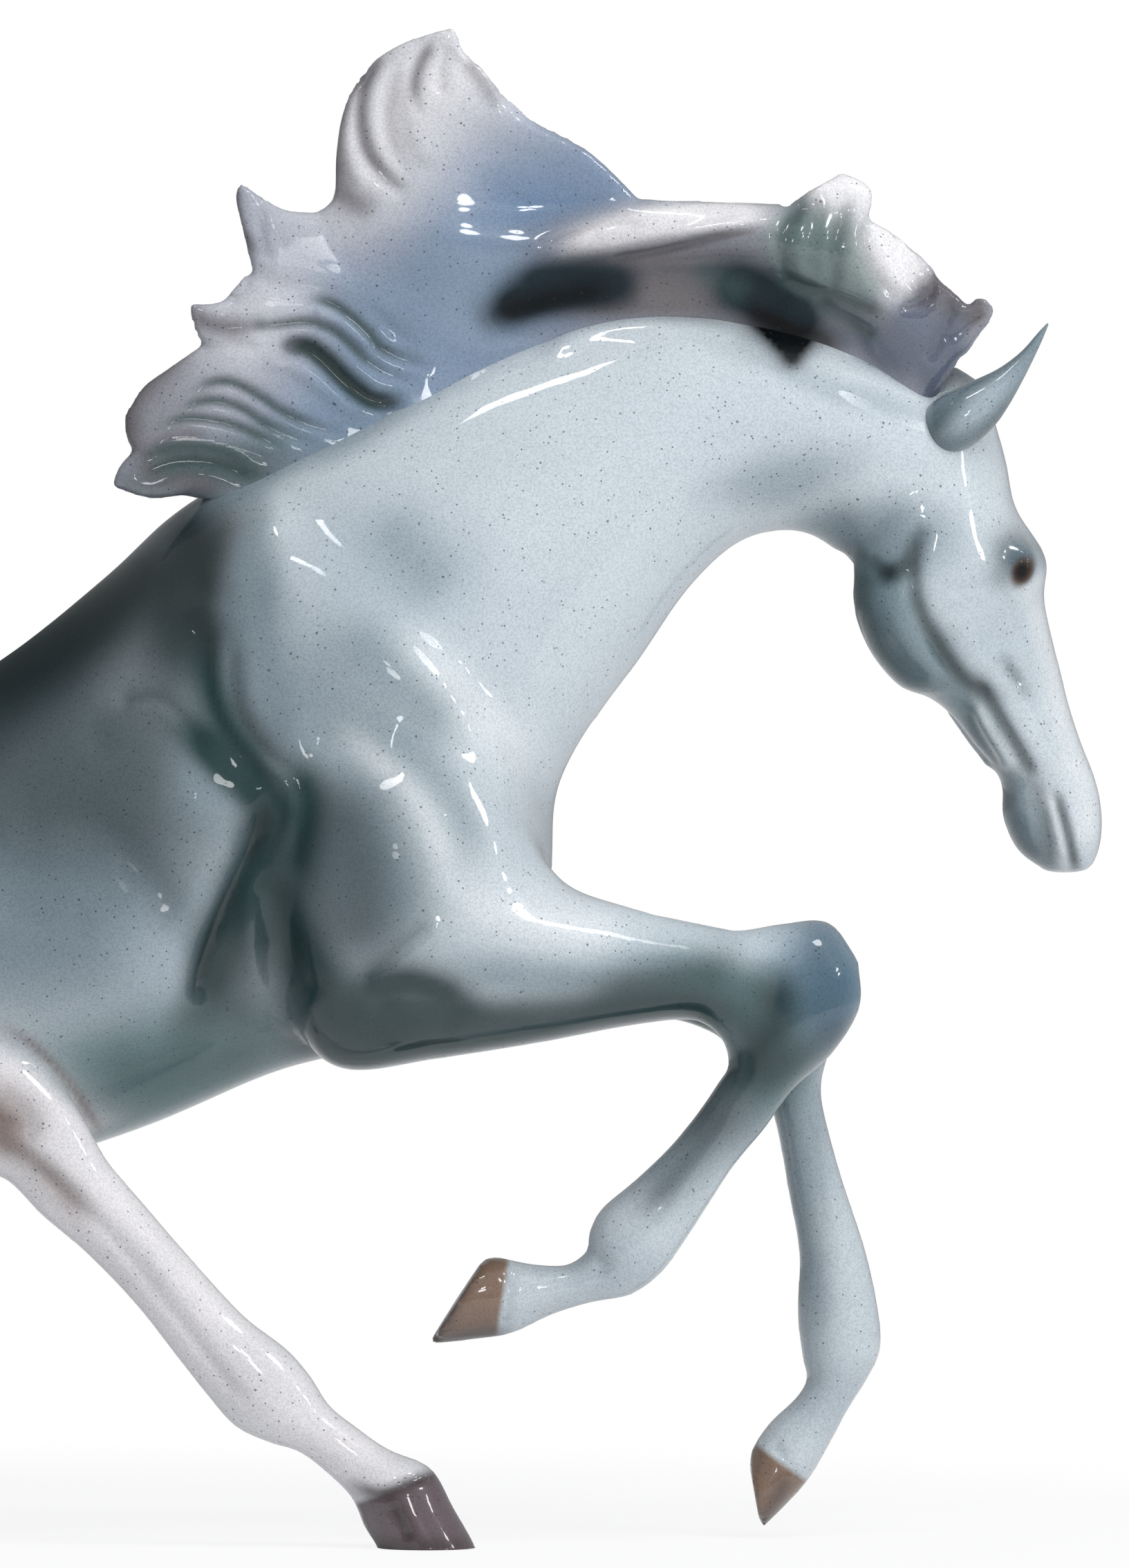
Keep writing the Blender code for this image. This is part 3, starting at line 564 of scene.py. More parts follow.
points, normals = points_and_normals(horse)
height = np.zeros(len(points))
# The colour these grooves gather is partly pooled glaze and partly painted shade
NARROW = 5                # strokes under this radius are grooves that gather colour
narrow = [stroke for stroke in BODY_STROKES + HEAD_STROKES + LEG_STROKES if stroke[0] < NARROW]
cut = carving(points, normals, narrow) + carving(*mirrored(points, normals, (0, 0), 0), narrow)
HEAD_FROM = 262           # x at which the strokes of the head take over, and over what width
HEAD_FADE = 12
on_head = np.clip((points[:, 0] - HEAD_FROM) / HEAD_FADE, 0, 1)
for view, turned in ((points, normals), mirrored(points, normals, (0, 0), 0)):
    height += carving(view, turned, BODY_STROKES) * (1 - on_head)
    facing = np.clip((-turned[:, 1] + 0.2) / 0.9, 0, 1)
    for (x, z), rx, rz, rise in BODY_SWELLS:
        far = ((view[:, 0] - x) / rx) ** 2 + ((view[:, 2] - z) / rz) ** 2
        height += rise * np.exp(-far) * facing * (1 - on_head)
height += carving(points, normals, LEG_STROKES) * (1 - on_head)
for view, turned in ((points, normals), mirrored(points, normals, *HEAD_PLANE)):
    height += carving(view, turned, HEAD_STROKES) * on_head

# Eyes: a ball under a brow on either side of the forehead, ringed by its lids
EYE = (326.2, 308.8)       # in the side view
EYE_FORMS = [
    # offset from the middle of the eye, radius, rise
    ((0, 0, 0), 5.5, 1.0),
    ((0.5, 0, 0), 2.8, 1.3),
    ((-1, 0, 6.5), 5, 2.2),
    ((4.5, 0, 5), 5, 2.4),
    ((-1.5, 0, 3.2), 1.8, -0.9),
    ((-3, 0, -6), 4.5, -1.2),
    ((-6.5, 0, 0.5), 3.5, -1.2),
]
CLEARANCE = 0.05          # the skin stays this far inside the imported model's width
tree = BVHTree.FromObject(horse, bpy.context.evaluated_depsgraph_get())
seen_from = (Vector((EYE[0], -200, EYE[1])) - Vector(ORIGIN)) * MM
eye_right = np.array(tree.ray_cast(seen_from, Vector((0, 1, 0)))[0]) / MM + ORIGIN
eye_left = mirrored(eye_right[None], eye_right[None], *HEAD_PLANE)[0][0]
for eye in (eye_right, eye_left):
    for offset, radius, rise in EYE_FORMS:
        away = np.linalg.norm(points - (eye + np.array(offset)), axis=1)
        height += rise * np.exp(-(away / radius) ** 2)
points = points + normals * height[:, None]
points[:, 2] = np.maximum(points[:, 2], 0.0)
across = points[:, 1] - ORIGIN[1]
widest = cad_box[1][1] / MM - CLEARANCE
points[:, 1] = ORIGIN[1] + across * min(1.0, widest / np.abs(across).max())
put_points(horse, points)


# Value that a skin carries at its points
def carry(obj, name, values):
    mask = obj.data.attributes.new(name, "FLOAT", "POINT")
    mask.data.foreach_set("value", values.astype(np.float32))


DEEPEST = 6               # grooves deeper than this gather no more colour


# Depth of the grooves, where the colour darkens as pooled glaze and as painted shade, and a smooth surface
def finished(obj, cut):
    carry(obj, "groove", np.clip(-cut, 0, DEEPEST))
    obj.data.shade_smooth()


finished(horse, cut)

BODY_NODES = ("trunk_shell", "neck_shell", "head_shell", "right_forearm", "left_forearm",
              "right_fore_cannon", "left_fore_cannon", "right_hind_leg", "left_hind_leg")
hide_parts(*BODY_NODES)
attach(horse, "root")

# Glaze of the horse: colours sprayed under a clear glossy glaze, pale blue-grey with charcoal on the back,
# white hind legs, brown hooves and fine dark pin-holes everywhere. Over them is painted shade: green-grey
# and slate in the hollows and on the undersides, and brown on the hocks. Painted light in pearl lies on the
# lit edges, and the back's charcoal is darkened further as painted shade and dark reflection


# Number that changes over a surface, with Math nodes behind the usual signs
class Field:
    def __init__(self, paint, socket):
        self.paint = paint
        self.socket = socket

    def maths(self, operation, first, second):
        return self.paint.node("Math", {"operation": operation}, {0: first, 1: second})

    def __add__(self, other):
        return self.maths("ADD", self, other)

    def __sub__(self, other):
        return self.maths("SUBTRACT", self, other)

    def __rsub__(self, other):
        return self.maths("SUBTRACT", other, self)

    def __mul__(self, other):
        return self.maths("MULTIPLY", self, other)

    def __gt__(self, other):
        return self.maths("GREATER_THAN", self, other)

    __radd__ = __add__
    __rmul__ = __mul__


# A material in the making, or the surround; node() takes a type, its settings, its inputs and an output
class Paint:
    def __init__(self, owner):
        owner.use_nodes = True
        self.tree = owner.node_tree
        self.material = owner
        self.shader = self.tree.nodes.get("Principled BSDF")

    def node(self, kind, settings=None, inputs=None, output=0):
        made = self.tree.nodes.new("ShaderNode" + kind)
        for key, value in (settings or {}).items():
            setattr(made, key, value)
        for key, value in (inputs or {}).items():
            self.feed(made.inputs[key], value)
        return Field(self, made.outputs[output])

    def feed(self, socket, value):
        if isinstance(value, Field):
            self.tree.links.new(value.socket, socket)
        elif socket.type == "RGBA":
            socket.default_value = (*value, 1.0)
        else:
            socket.default_value = value

    def mix(self, mask, first, second, way="MIX"):
        return self.node("Mix", {"data_type": "RGBA", "blend_type": way},
                         {"Factor": mask, 6: first, 7: second}, 2)

    def ramp(self, value, start, end, low=0.0, high=1.0):
        return self.node("MapRange", {"interpolation_type": "SMOOTHSTEP"},
                         {"Value": value, "From Min": start, "From Max": end, "To Min": low, "To Max": high})

    def noise(self, place, scale, detail=2.0, output="Fac"):
        return self.node("TexNoise", None, {"Vector": place, "Scale": scale, "Detail": detail}, output)


# Display colour as the shader wants it
def tint(r, g, b):
    return tuple(((c / 255 + 0.055) / 1.055) ** 2.4 if c > 10 else c / 255 / 12.92 for c in (r, g, b))


SOFT_EDGE = (0.15, 1.35)  # where a spray starts and ends to fade, as shares of its half sizes
THROUGH = 10000           # half depth of a spray that reaches through the horse from side to side


# Inside of an ellipsoid with a soft edge: centre, half sizes, slope in the side view
def within(paint, place, centre, sizes, slope, strength=1.0, edge=SOFT_EDGE):
    near = paint.node("Mapping", {"vector_type": "TEXTURE"},
                      {"Vector": place, "Location": tuple((np.array(centre) - ORIGIN) * MM),
                       "Rotation": (0.0, -math.radians(slope), 0.0),
                       "Scale": tuple(size * MM for size in sizes)})
    away = paint.node("VectorMath", {"operation": "LENGTH"}, {0: near}, "Value")
    return paint.ramp(away, *edge, strength, 0.0)


# One painted spot, for glaze colour and for painted shade alike
def spot(paint, colour, place, centre, sizes, slope, shade, strength, edge=SOFT_EDGE):
    return paint.mix(within(paint, place, centre, sizes, slope, strength, edge), colour, tint(*shade))


# Painted areas in the side view, glaze colour and painted shade and light alike: centre x and z, half sizes,
# slope in degrees, colour, strength
def painted_areas(paint, colour, place, areas):
    for x, z, wide, high, slope, shade, strength in areas:
        colour = spot(paint, colour, place, (x, 0, z), (wide, THROUGH, high), slope, shade, strength)
    return colour


# Areas that took less clear glaze: centre x and z, half sizes, slope, share, where the edge begins
def unglazed(paint, place, areas):
    dull = 0.0
    for x, z, wide, high, slope, share, inner in areas:
        dull = dull + within(paint, place, (x, 0, z), (wide, THROUGH, high), slope, share,
                             (inner, SOFT_EDGE[1]))
    return dull


BRUSH_TAPER = 0.3         # share of its path over which an airbrush stroke starts and ends
RIGHT_SIDE = 14           # how far right of the middle a coat of the right side alone begins, and
RIGHT_FADE = 10           # the width over which it comes up


# Strokes of colour, glaze colour and painted shade and light alike, kept as one mask per coat: radius,
# strength and path in the side view
def painted_strokes(obj, coats, right_only=False):
    points = points_and_normals(obj)[0]
    side = np.clip((-points[:, 1] - RIGHT_SIDE) / RIGHT_FADE, 0, 1) if right_only else 1.0
    for name, shade, strokes in coats:
        bare = np.ones(len(points))
        for radius, strength, path in strokes:
            bare *= 1 - np.clip(strength * under_stroke(points[:, [0, 2]], radius, path, BRUSH_TAPER), 0, 1)
        carry(obj, name, (1 - bare) * side)


# Mask or depth that the skin carries at its points
def carried(paint, name):
    return paint.node("Attribute", {"attribute_name": name}, None, "Fac")


def coated(paint, colour, coats):
    for name, shade, strokes in coats:
        colour = paint.mix(carried(paint, name), colour, tint(*shade))
    return colour


CORONET_EDGE = (-0.0012, 0.0014)      # metres from the coronet over which the brown comes up


# Hoof dipped in brown up to its coronet: a point on the coronet in the side view, the way the hoof
# points in degrees, and how far the brown reaches
def dipped(paint, colour, here, coronet, towards, reach, shade):
    way = np.array((math.cos(math.radians(towards)), 0.0, math.sin(math.radians(towards))))
    start = np.array((coronet[0], 0, coronet[1]))
    rel = paint.node("VectorMath", {"operation": "SUBTRACT"}, {0: here, 1: tuple((start - ORIGIN) * MM)})
    below = paint.node("VectorMath", {"operation": "DOT_PRODUCT"}, {0: rel, 1: tuple(way)}, "Value")
    near = within(paint, here, start + 0.5 * reach * way, (reach, THROUGH, reach), 0, 1.0, (0.95, 1.05))
    return paint.mix(paint.ramp(below, *CORONET_EDGE) * near, colour, tint(*shade))


# Position, warped a little so that sprayed edges wander
def wandering(paint, amount=0.009, scale=32.0):
    here = paint.node("TexCoord", None, None, "Object")
    drift = paint.noise(here, scale, 2.0, "Color")
    centred = paint.node("VectorMath", {"operation": "SUBTRACT"}, {0: drift, 1: (0.5, 0.5, 0.5)})
    shift = paint.node("VectorMath", {"operation": "SCALE"}, {0: centred, "Scale": amount})
    return here, paint.node("VectorMath", {"operation": "ADD"}, {0: here, 1: shift})


# Pin-holes of one size, one in each cell that the glaze didn't close
def pinholes(paint, here, scale, edges, strength, whole):
    cells = {"Vector": here, "Scale": scale, "Randomness": 1.0}
    middle = paint.node("TexVoronoi", None, cells, "Distance")
    chance = paint.node("SeparateColor", None, {0: paint.node("TexVoronoi", None, cells, "Color")}, 0)
    return paint.ramp(middle, *edges, strength, 0.0) * (chance > whole)


STIPPLE = (150, 158, 170)
CLOUD = (205, 212, 220)
PINHOLE = (48, 58, 66)
STIPPLE_SCALE = 1500.0    # repeats to the metre
CLOUD_SCALE = 24.0
WAVE_SCALE = 70.0
WAVE_HEIGHT = 0.00022
PINHOLE_DEPTH = 0.00006
PINHOLES = [
    # cells to the metre, edges of the hole as shares of a cell, strength, share of cells that stay whole
    (480.0, (0.09, 0.19), 1.0, 0.56),
    (150.0, (0.045, 0.08), 0.9, 0.5),
]


# Clear glaze over the colours: pin-holes, a fine stipple, a slow unevenness, and colour darkened in the
# grooves, partly pooled glaze and partly painted shade
def glazed(paint, colour, here, pooled_and_shaded, pool_and_shade_strength, dull=0.0):
    dull = paint.node("Clamp", None, {"Value": dull})
    pool_and_shade = paint.ramp(carried(paint, "groove"), 0.1, 2.8, 0.0, pool_and_shade_strength)
    colour = paint.mix(pool_and_shade, colour, tint(*pooled_and_shaded), "MULTIPLY")
    stipple = paint.ramp(paint.noise(here, STIPPLE_SCALE, 1.0), 0.35, 0.7, 0.0, 0.28)
    colour = paint.mix(stipple, colour, tint(*STIPPLE), "MULTIPLY")
    cloud = paint.noise(here, CLOUD_SCALE, 3.0)
    colour = paint.mix(paint.ramp(cloud, 0.35, 0.7, 0.0, 0.16), colour, tint(*CLOUD), "MULTIPLY")
    hole = sum(pinholes(paint, here, *kind) for kind in PINHOLES)
    colour = paint.mix(hole * 0.8, colour, tint(*PINHOLE))
    relief = paint.noise(here, WAVE_SCALE, 2.0) * WAVE_HEIGHT - hole * PINHOLE_DEPTH
    rough = paint.ramp(cloud, 0.3, 0.7, 0.24, 0.34) + hole * 0.3 + dull * 0.5
    bump = paint.node("Bump", None, {"Height": relief, "Distance": 1.0, "Strength": 0.35})
    sockets = paint.shader.inputs
    paint.feed(sockets["Base Color"], colour)
    paint.feed(sockets["Roughness"], rough)
    paint.feed(sockets["Coat Weight"], (1.0 - hole * 0.7) * (1.0 - dull))
    paint.feed(sockets["Normal"], bump)
    sockets["Coat Roughness"].default_value = 0.035
    sockets["Coat IOR"].default_value = 1.5
    sockets["Specular IOR Level"].default_value = 0.35
    sockets["Subsurface Weight"].default_value = 0.0
    return paint.material


# Colours of the glaze as they look once fired, which also serve for the painted shade and light
PEARL = (229, 234, 237)
MIST = (200, 209, 215)
DOVE = (168, 181, 190)
STEEL = (128, 144, 153)
SLATE = (80, 97, 103)
CHARCOAL = (28, 42, 44)
PINE = (24, 54, 56)
SAGE = (100, 128, 132)
SHELL = (238, 234, 236)
UMBER = (132, 108, 92)
NIGHT = (8, 12, 16)
BODY_SPRAYS_AND_SHADE = [
    # croup, back, barrel and belly: grey and charcoal glaze darkened further as painted shade and dark
    # reflection, and painted shade under the belly
    (-60, 215, 190, 84, 4, STEEL, 0.9),
    (-100, 262, 120, 32, 4, CHARCOAL, 0.95),
    (20, 238, 66, 44, 14, (86, 98, 102), 0.95),
    (14, 200, 60, 26, 0, STEEL, 0.9),
    (52, 184, 18, 20, 0, DOVE, 0.6),
    (50, 154, 70, 20, 18, (96, 126, 130), 0.9),
    (67, 245, 17, 19, 0, STEEL, 0.85),
    (22, 290, 80, 24, 40, CHARCOAL, 0.97),
    (60, 300, 50, 17, 78, CHARCOAL, 0.96),
    # painted shade on the edge and in the hollow of the shoulder, arm and elbow
    (108, 282, 70, 44, 70, DOVE, 0.45),
    (78, 298, 50, 9, 84, STEEL, 0.85),
    (126, 314, 34, 22, -24, DOVE, 0.75),
    (112, 262, 34, 20, -20, STEEL, 0.5),
    (108, 212, 32, 38, 0, SLATE, 0.75),
    (80, 244, 30, 8, -38, PINE, 0.95),
    (85, 222, 11, 32, 0, PINE, 0.9),
    (70, 190, 40, 10, 72, PINE, 0.9),
    (96, 184, 36, 14, -52, PINE, 0.8),
    (112, 166, 30, 19, 0, PINE, 0.9),
    # painted shade on the forearm, knee and cannons, darkest under the forearm
    (172, 184, 44, 10, -3, DOVE, 0.7),
    (158, 161, 76, 15, 9, PINE, 0.95),
    (226, 171, 40, 12, 8, PINE, 0.9),
    (264, 178, 22, 24, 0, (112, 142, 162), 0.95),
    (234, 142, 28, 19, 48, SLATE, 0.85),
    (216, 122, 22, 15, 48, STEEL, 0.65),
    (255, 128, 32, 12, -80, STEEL, 0.7),
    (256, 94, 40, 9, -84, STEEL, 0.8),
    (263, 46, 18, 16, 0, DOVE, 0.6),
    (192, 90, 20, 12, 0, DOVE, 0.5),
    # painted shade on the throat, jaw, face, muzzle and under the brow, and painted light in pearl down the
    # front of the face
    (250, 339, 28, 10, 12, STEEL, 0.55),
    (286, 319, 24, 14, 0, STEEL, 0.85),
    (274, 298, 32, 11, -80, PINE, 0.9),
    (288, 281, 28, 12, -52, SLATE, 0.7),
    (308, 264, 26, 8, -56, SAGE, 0.8),
    (328, 224, 18, 12, -60, (120, 144, 152), 0.6),
    (314, 288, 30, 20, -70, DOVE, 0.4),
    (342, 270, 66, 9, -72, PEARL, 0.8),
    (330, 316, 9, 8, 0, STEEL, 0.7),
    # shade of the mane along the crest
    (62, 331, 62, 9, 40, STEEL, 0.75),
    (110, 353, 64, 7, 27, STEEL, 0.6),
    (262, 370, 50, 6, -22, STEEL, 0.4),
    # hind legs, warm white, with brown painted shade on the hocks
    (66, 68, 76, 34, -46, SHELL, 0.97),
    (112, 26, 40, 26, -35, SHELL, 0.97),
    (-130, 70, 110, 66, -30, SHELL, 0.97),
]
# White glaze of the right hind leg and brown painted shade on its hock, which stop at its edge against the
# belly
THIGH_COATS_AND_SHADE = [
    ("shell_coat", SHELL, [
        (15, 2.6, [(-34, 160), (-10, 146), (6, 134), (22, 119), (34, 105), (50, 86), (72, 60)]),
    ]),
    # brown painted shade in the hollow of the hock and along its tendon
    ("hock_shade_coat", (108, 84, 74), [
        (10, 0.9, [(-30, 152), (-8, 142), (4, 134), (14, 124)]),
        (4, 0.7, [(-10, 134), (6, 128), (18, 118), (34, 100)]),
        (1.6, 0.6, [(-4, 170), (12, 160), (24, 146), (33, 130), (38, 118)]),
    ]),
]
# Painted shade on the edges and in the hollows of the hooves
HOOF_SHADE_COATS = [
    ("hoof_shade_coat", (66, 56, 56), [
        (3, 0.8, [(130, 63), (148, 66), (166, 68)]),
        (2.0, 0.7, [(134, 60), (145, 77), (154, 94)]),
        (3, 0.7, [(108, 10), (122, 2), (136, 1), (160, 1)]),
        (2.4, 0.8, [(108, 22), (121, 18), (131, 21), (144, 27)]),
        (2.2, 0.8, [(122, 20), (129, 9), (133, -2)]),
        (2.2, 0.6, [(142, 28), (152, 10), (158, -2)]),
        (3, 0.6, [(252, 24), (248, 12), (241, 0)]),
    ]),
]
HOOVES = [
    # point on the coronet, way the hoof points, reach of the brown
    ((160.5, 79), 171, 26, UMBER),
    ((248.3, 25), -126, 30, UMBER),
    ((126.3, 19.5), -68, 32, (104, 90, 95)),
    ((-78.5, 19.5), -68, 32, (104, 90, 95)),
]
# Painted shade and light, stroked over the sprayed colours; the charcoal on the back is partly glaze
BODY_SHADE_AND_LIGHT_COATS = [
    # painted light in pearl: the lit diagonal of the arm, the forearm's top, the bars of cheek and muzzle,
    # the front of the face
    ("painted_light_coat", PEARL, [
        (8, 0.7, [(120, 296), (136, 282), (150, 268), (162, 256), (174, 236)]),
        (5, 0.7, [(104, 264), (120, 252), (134, 238), (141, 222), (143, 204)]),
        (9, 0.7, [(146, 222), (154, 206), (172, 200), (204, 194)]),
        (2.2, 0.9, [(309, 271), (314.5, 261.5), (320, 252), (327, 240)]),
        (2.2, 0.9, [(334, 243), (337.5, 228), (340.5, 209)]),
        (5, 0.9, [(342, 256), (348, 238), (349, 216)]),
        (4, 0.8, [(331, 314), (336, 288), (341, 268), (347, 244)]),
    ]),
    # green-grey painted shade under the belly, under the knee and on the jaw
    ("sage_shade_coat", (96, 130, 134), [
        (13, 1.0, [(190, 178), (220, 177), (241, 168), (247, 150), (236, 128)]),
        (16, 0.9, [(-6, 152), (36, 142), (70, 146), (104, 158)]),
        (8, 0.8, [(278, 322), (281, 304), (286, 292), (293, 281), (306, 267)]),
        (6, 0.5, [(300, 276), (308, 264), (314, 254), (322, 240)]),
    ]),
    # steel painted shade behind the shoulder, on the arm, under the forearm, on throat, jaw and muzzle, and
    # along the crest under the mane
    ("middle_shade_coat", STEEL, [
        (9, 0.9, [(80, 328), (84, 304), (85, 284), (92, 262), (110, 246)]),
        (9, 0.6, [(106, 298), (126, 278), (150, 254)]),
        (22, 0.4, [(86, 300), (104, 282), (124, 262)]),
        (7, 0.6, [(112, 268), (132, 252), (146, 234), (153, 214)]),
        (14, 0.8, [(98, 250), (112, 226), (122, 204), (128, 180)]),
        (10, 0.5, [(118, 332), (131, 315), (146, 298)]),
        (6, 0.7, [(132, 188), (164, 182), (204, 182), (236, 188)]),
        (9, 0.85, [(281, 326), (283, 306), (287, 291), (296, 278), (310, 262)]),
        (4, 0.8, [(296, 275), (306, 261), (313, 252), (322, 239)]),
        (7, 0.85, [(319, 250), (324, 232), (334, 210)]),
        (8, 0.7, [(246, 325), (270, 321), (296, 326)]),
        (4, 0.7, [(52, 329), (76, 339), (100, 350), (134, 366)]),
        (3.5, 0.6, [(266, 384), (284, 374), (296, 368), (310, 360)]),
    ]),
    # slate over the barrel, partly its grey glaze and partly painted shade, and painted shade under the arm,
    # on the cannon, round the eye and on the poll
    ("deep_shade_coat", (80, 92, 97), [
        (20, 0.7, [(-2, 250), (18, 250), (38, 256), (62, 266)]),
        (18, 0.38, [(-10, 222), (24, 224), (50, 218), (62, 200)]),
        (9, 0.6, [(36, 272), (34, 254), (42, 234)]),
        (7, 0.55, [(26, 238), (42, 224), (56, 206), (62, 188)]),
        (12, 0.8, [(102, 250), (114, 228), (118, 206), (112, 178)]),
        (6, 0.7, [(216, 124), (236, 148), (252, 166)]),
        (5, 0.7, [(200, 100), (218, 121), (240, 148)]),
        (6, 0.6, [(330, 323), (321, 316), (322, 300)]),
        (6, 0.9, [(290, 370), (302, 373), (312, 372), (322, 364)]),
    ]),
    # dark green painted shade in the hollows behind shoulder and elbow, under forearm and knee, and in the
    # grooves of jaw and nostril
    ("pine_shade_coat", PINE, [
        (9, 1.0, [(56, 312), (64, 288), (70, 268), (80, 253), (98, 238)]),
        (7, 1.2, [(54, 270), (70, 252), (81, 243), (88, 234), (89, 214)]),
        (8, 1.0, [(88, 256), (98, 241), (97, 226), (91, 204)]),
        (6, 1.2, [(86, 234), (81, 214), (76, 202), (70, 189), (66, 160)]),
        (9, 0.7, [(80, 206), (77, 184), (74, 158)]),
        (9, 1.0, [(88, 226), (91, 204), (97, 188), (108, 164)]),
        (10, 1.2, [(90, 176), (108, 162), (130, 160), (164, 160)]),
        (7, 1.1, [(106, 170), (122, 179), (137, 179), (156, 168)]),
        (8, 1.2, [(96, 166), (120, 170), (142, 169), (170, 164)]),
        (7, 1.3, [(128, 162), (170, 163), (200, 169), (222, 171), (250, 168)]),
        (8, 0.7, [(182, 174), (214, 180), (244, 186)]),
        (6, 0.35, [(200, 168), (222, 170), (238, 164), (244, 150), (240, 134)]),
        (6, 0.6, [(146, 166), (168, 170), (194, 172), (218, 174)]),
        (10, 1.0, [(232, 138), (244, 158), (248, 172), (244, 190)]),
        (7, 0.7, [(238, 146), (252, 154), (266, 162), (276, 172)]),
        (12, 0.5, [(20, 150), (56, 152), (96, 164)]),
        (6, 0.6, [(273, 326), (273.5, 308), (275.5, 297), (280, 287), (286, 278.5), (293, 272.5),
                  (304, 262)]),
        (2.8, 0.6, [(291.8, 316), (291.5, 304), (294, 295), (299, 286), (304.5, 278), (311, 272),
                    (323, 264)]),
        (3.4, 0.55, [(295, 297), (301, 284), (307, 275), (315, 270), (324, 266)]),
        (2.6, 0.6, [(309, 280), (318.7, 262.5), (323, 255.5), (326.5, 249.5), (333, 236)]),
        (2.0, 0.45, [(308, 274), (311, 259), (315, 252), (324, 238)]),
        (3.6, 0.6, [(294, 325), (289.5, 313), (284.5, 309), (273, 303)]),
        (2.2, 0.45, [(271, 318), (280, 310.5), (289, 305)]),
        (2.4, 0.35, [(318, 285), (324, 276.5), (330, 266)]),
        (1.8, 0.65, [(336, 243), (341, 226.5), (342.6, 219), (345, 206)]),
        (3.6, 0.35, [(330, 246), (334, 226), (337.5, 206)]),
        (4.0, 0.5, [(319.5, 250), (321.5, 232), (327, 220), (340, 208)]),
    ]),
    # blue painted shade on the knee
    ("knee_shade_coat", (48, 78, 96), [
        (11, 0.75, [(254, 208), (262, 190), (265, 174), (256, 152)]),
    ]),
    # charcoal along the back, partly its glaze and partly painted shade and dark reflection
    ("charcoal_and_shade_coat", CHARCOAL, [
        (16, 1.1, [(-50, 261), (0, 279), (24, 294), (46, 312), (68, 340)]),
        (11, 1.0, [(52, 340), (62, 316), (62, 296), (62, 272)]),
    ]),
    # black painted shadow in the notch where the mane dips at the crest
    ("painted_shadow_coat", NIGHT, [
        (4.8, 1.3, [(232, 400), (245.5, 386.5), (252.4, 381), (259, 386.5), (272, 399)]),
        (3.4, 1.3, [(252, 396), (252.4, 384), (252.5, 378), (252.7, 371)]),
    ]),
]
painted_strokes(horse, BODY_SHADE_AND_LIGHT_COATS)
painted_strokes(horse, THIGH_COATS_AND_SHADE, True)
painted_strokes(horse, HOOF_SHADE_COATS)
paint = Paint(bpy.data.materials.new("horse_glaze"))
here, place = wandering(paint)
colour = painted_areas(paint, tint(*MIST), place, BODY_SPRAYS_AND_SHADE)
colour = coated(paint, colour, BODY_SHADE_AND_LIGHT_COATS + THIGH_COATS_AND_SHADE)
for coronet, towards, reach, shade in HOOVES:
    colour = dipped(paint, colour, here, coronet, towards, reach, shade)
colour = coated(paint, colour, HOOF_SHADE_COATS)
EYE_SPOTS = [
    # offset from the middle of the eye, half sizes, slope, colour, edge: painted shade on the lids under the
    # brow, iris, pupil
    ((-1.2, 0, 3.6), (9.5, 10, 6.8), -25, (70, 88, 100), (0.2, 1.25)),
    ((0, 0, 0), (4.6, 8, 6.0), -38, (92, 70, 52), (0.5, 1.15)),
    ((-0.2, 0, 0.4), (3.8, 8, 4.6), -30, NIGHT, (0.4, 1.15)),
]
for eye in (eye_right, eye_left):
    for offset, sizes, slope, shade, fade in EYE_SPOTS:
        colour = spot(paint, colour, here, eye + np.array(offset), sizes, slope, shade, 1.0, fade)
DULL_AREAS = [
    # barrel, throat, eye, neck, arm, poll, crest by the ear, forearm
    (14, 240, 62, 80, 0, 1.0, 0.4),
    (284, 306, 14, 16, 0, 0.8, 0.15),
    (*EYE, 7, 7, 0, 0.9, 0.15),
    (140, 314, 92, 42, 34, 0.9, 0.15),
    (112, 222, 36, 40, 0, 0.85, 0.15),
    (240, 350, 60, 26, -10, 0.8, 0.15),
    (286, 360, 22, 10, -28, 0.8, 0.15),
    (222, 194, 44, 14, -4, 0.8, 0.15),
]
# Colour of the darkened grooves: glaze lying deep there, and painted shade in them
POOLED_AND_SHADED = (74, 88, 90)     # colour of the glaze where it lies deep
horse.data.materials.append(glazed(paint, colour, here, POOLED_AND_SHADED, 0.6, unglazed(paint, place, DULL_AREAS)))


# Ears: two thin leaves of porcelain rolled by hand, hollow towards the face.
# They are luted behind the poll before firing; painted shade makes them darker than the head.
EAR_STATIONS = [
    # lower edge x and z, upper edge x and z, half depth, middle y
    (296, 349.5, 294.5, 356.5, 3.0, 15),
    (300.5, 346.8, 295.3, 361, 8.0, 12.5),
    (306, 347, 299.5, 364.5, 10.0, 11),
    (312, 350.3, 305.3, 367.6, 9.5, 10.5),
    (317.8, 356, 311.3, 370.4, 8.0, 11),
    (321.8, 361.8, 317, 373, 6.2, 12),
    (325.2, 367.8, 321.8, 376, 4.6, 13),
    (328.8, 374.8, 326.6, 380, 3.0, 14.2),
    (332.2, 382, 331, 385, 1.6, 15.3),
    (334.7, 388, 334.2, 388.4, 0.5, 16.5),
]
EAR_WALL = 0.42           # wall of the leaf as a share of its depth
EAR_CUP = 0.06            # how much deeper the hollow is cupped, as a share of the depth
EAR_SET = 0.55            # shift of the leaf towards the hollow side, as a share of the depth
EAR_HALF = 18             # points along each face of a section
EAR_STEPS = 5             # rings for each interval of the stations


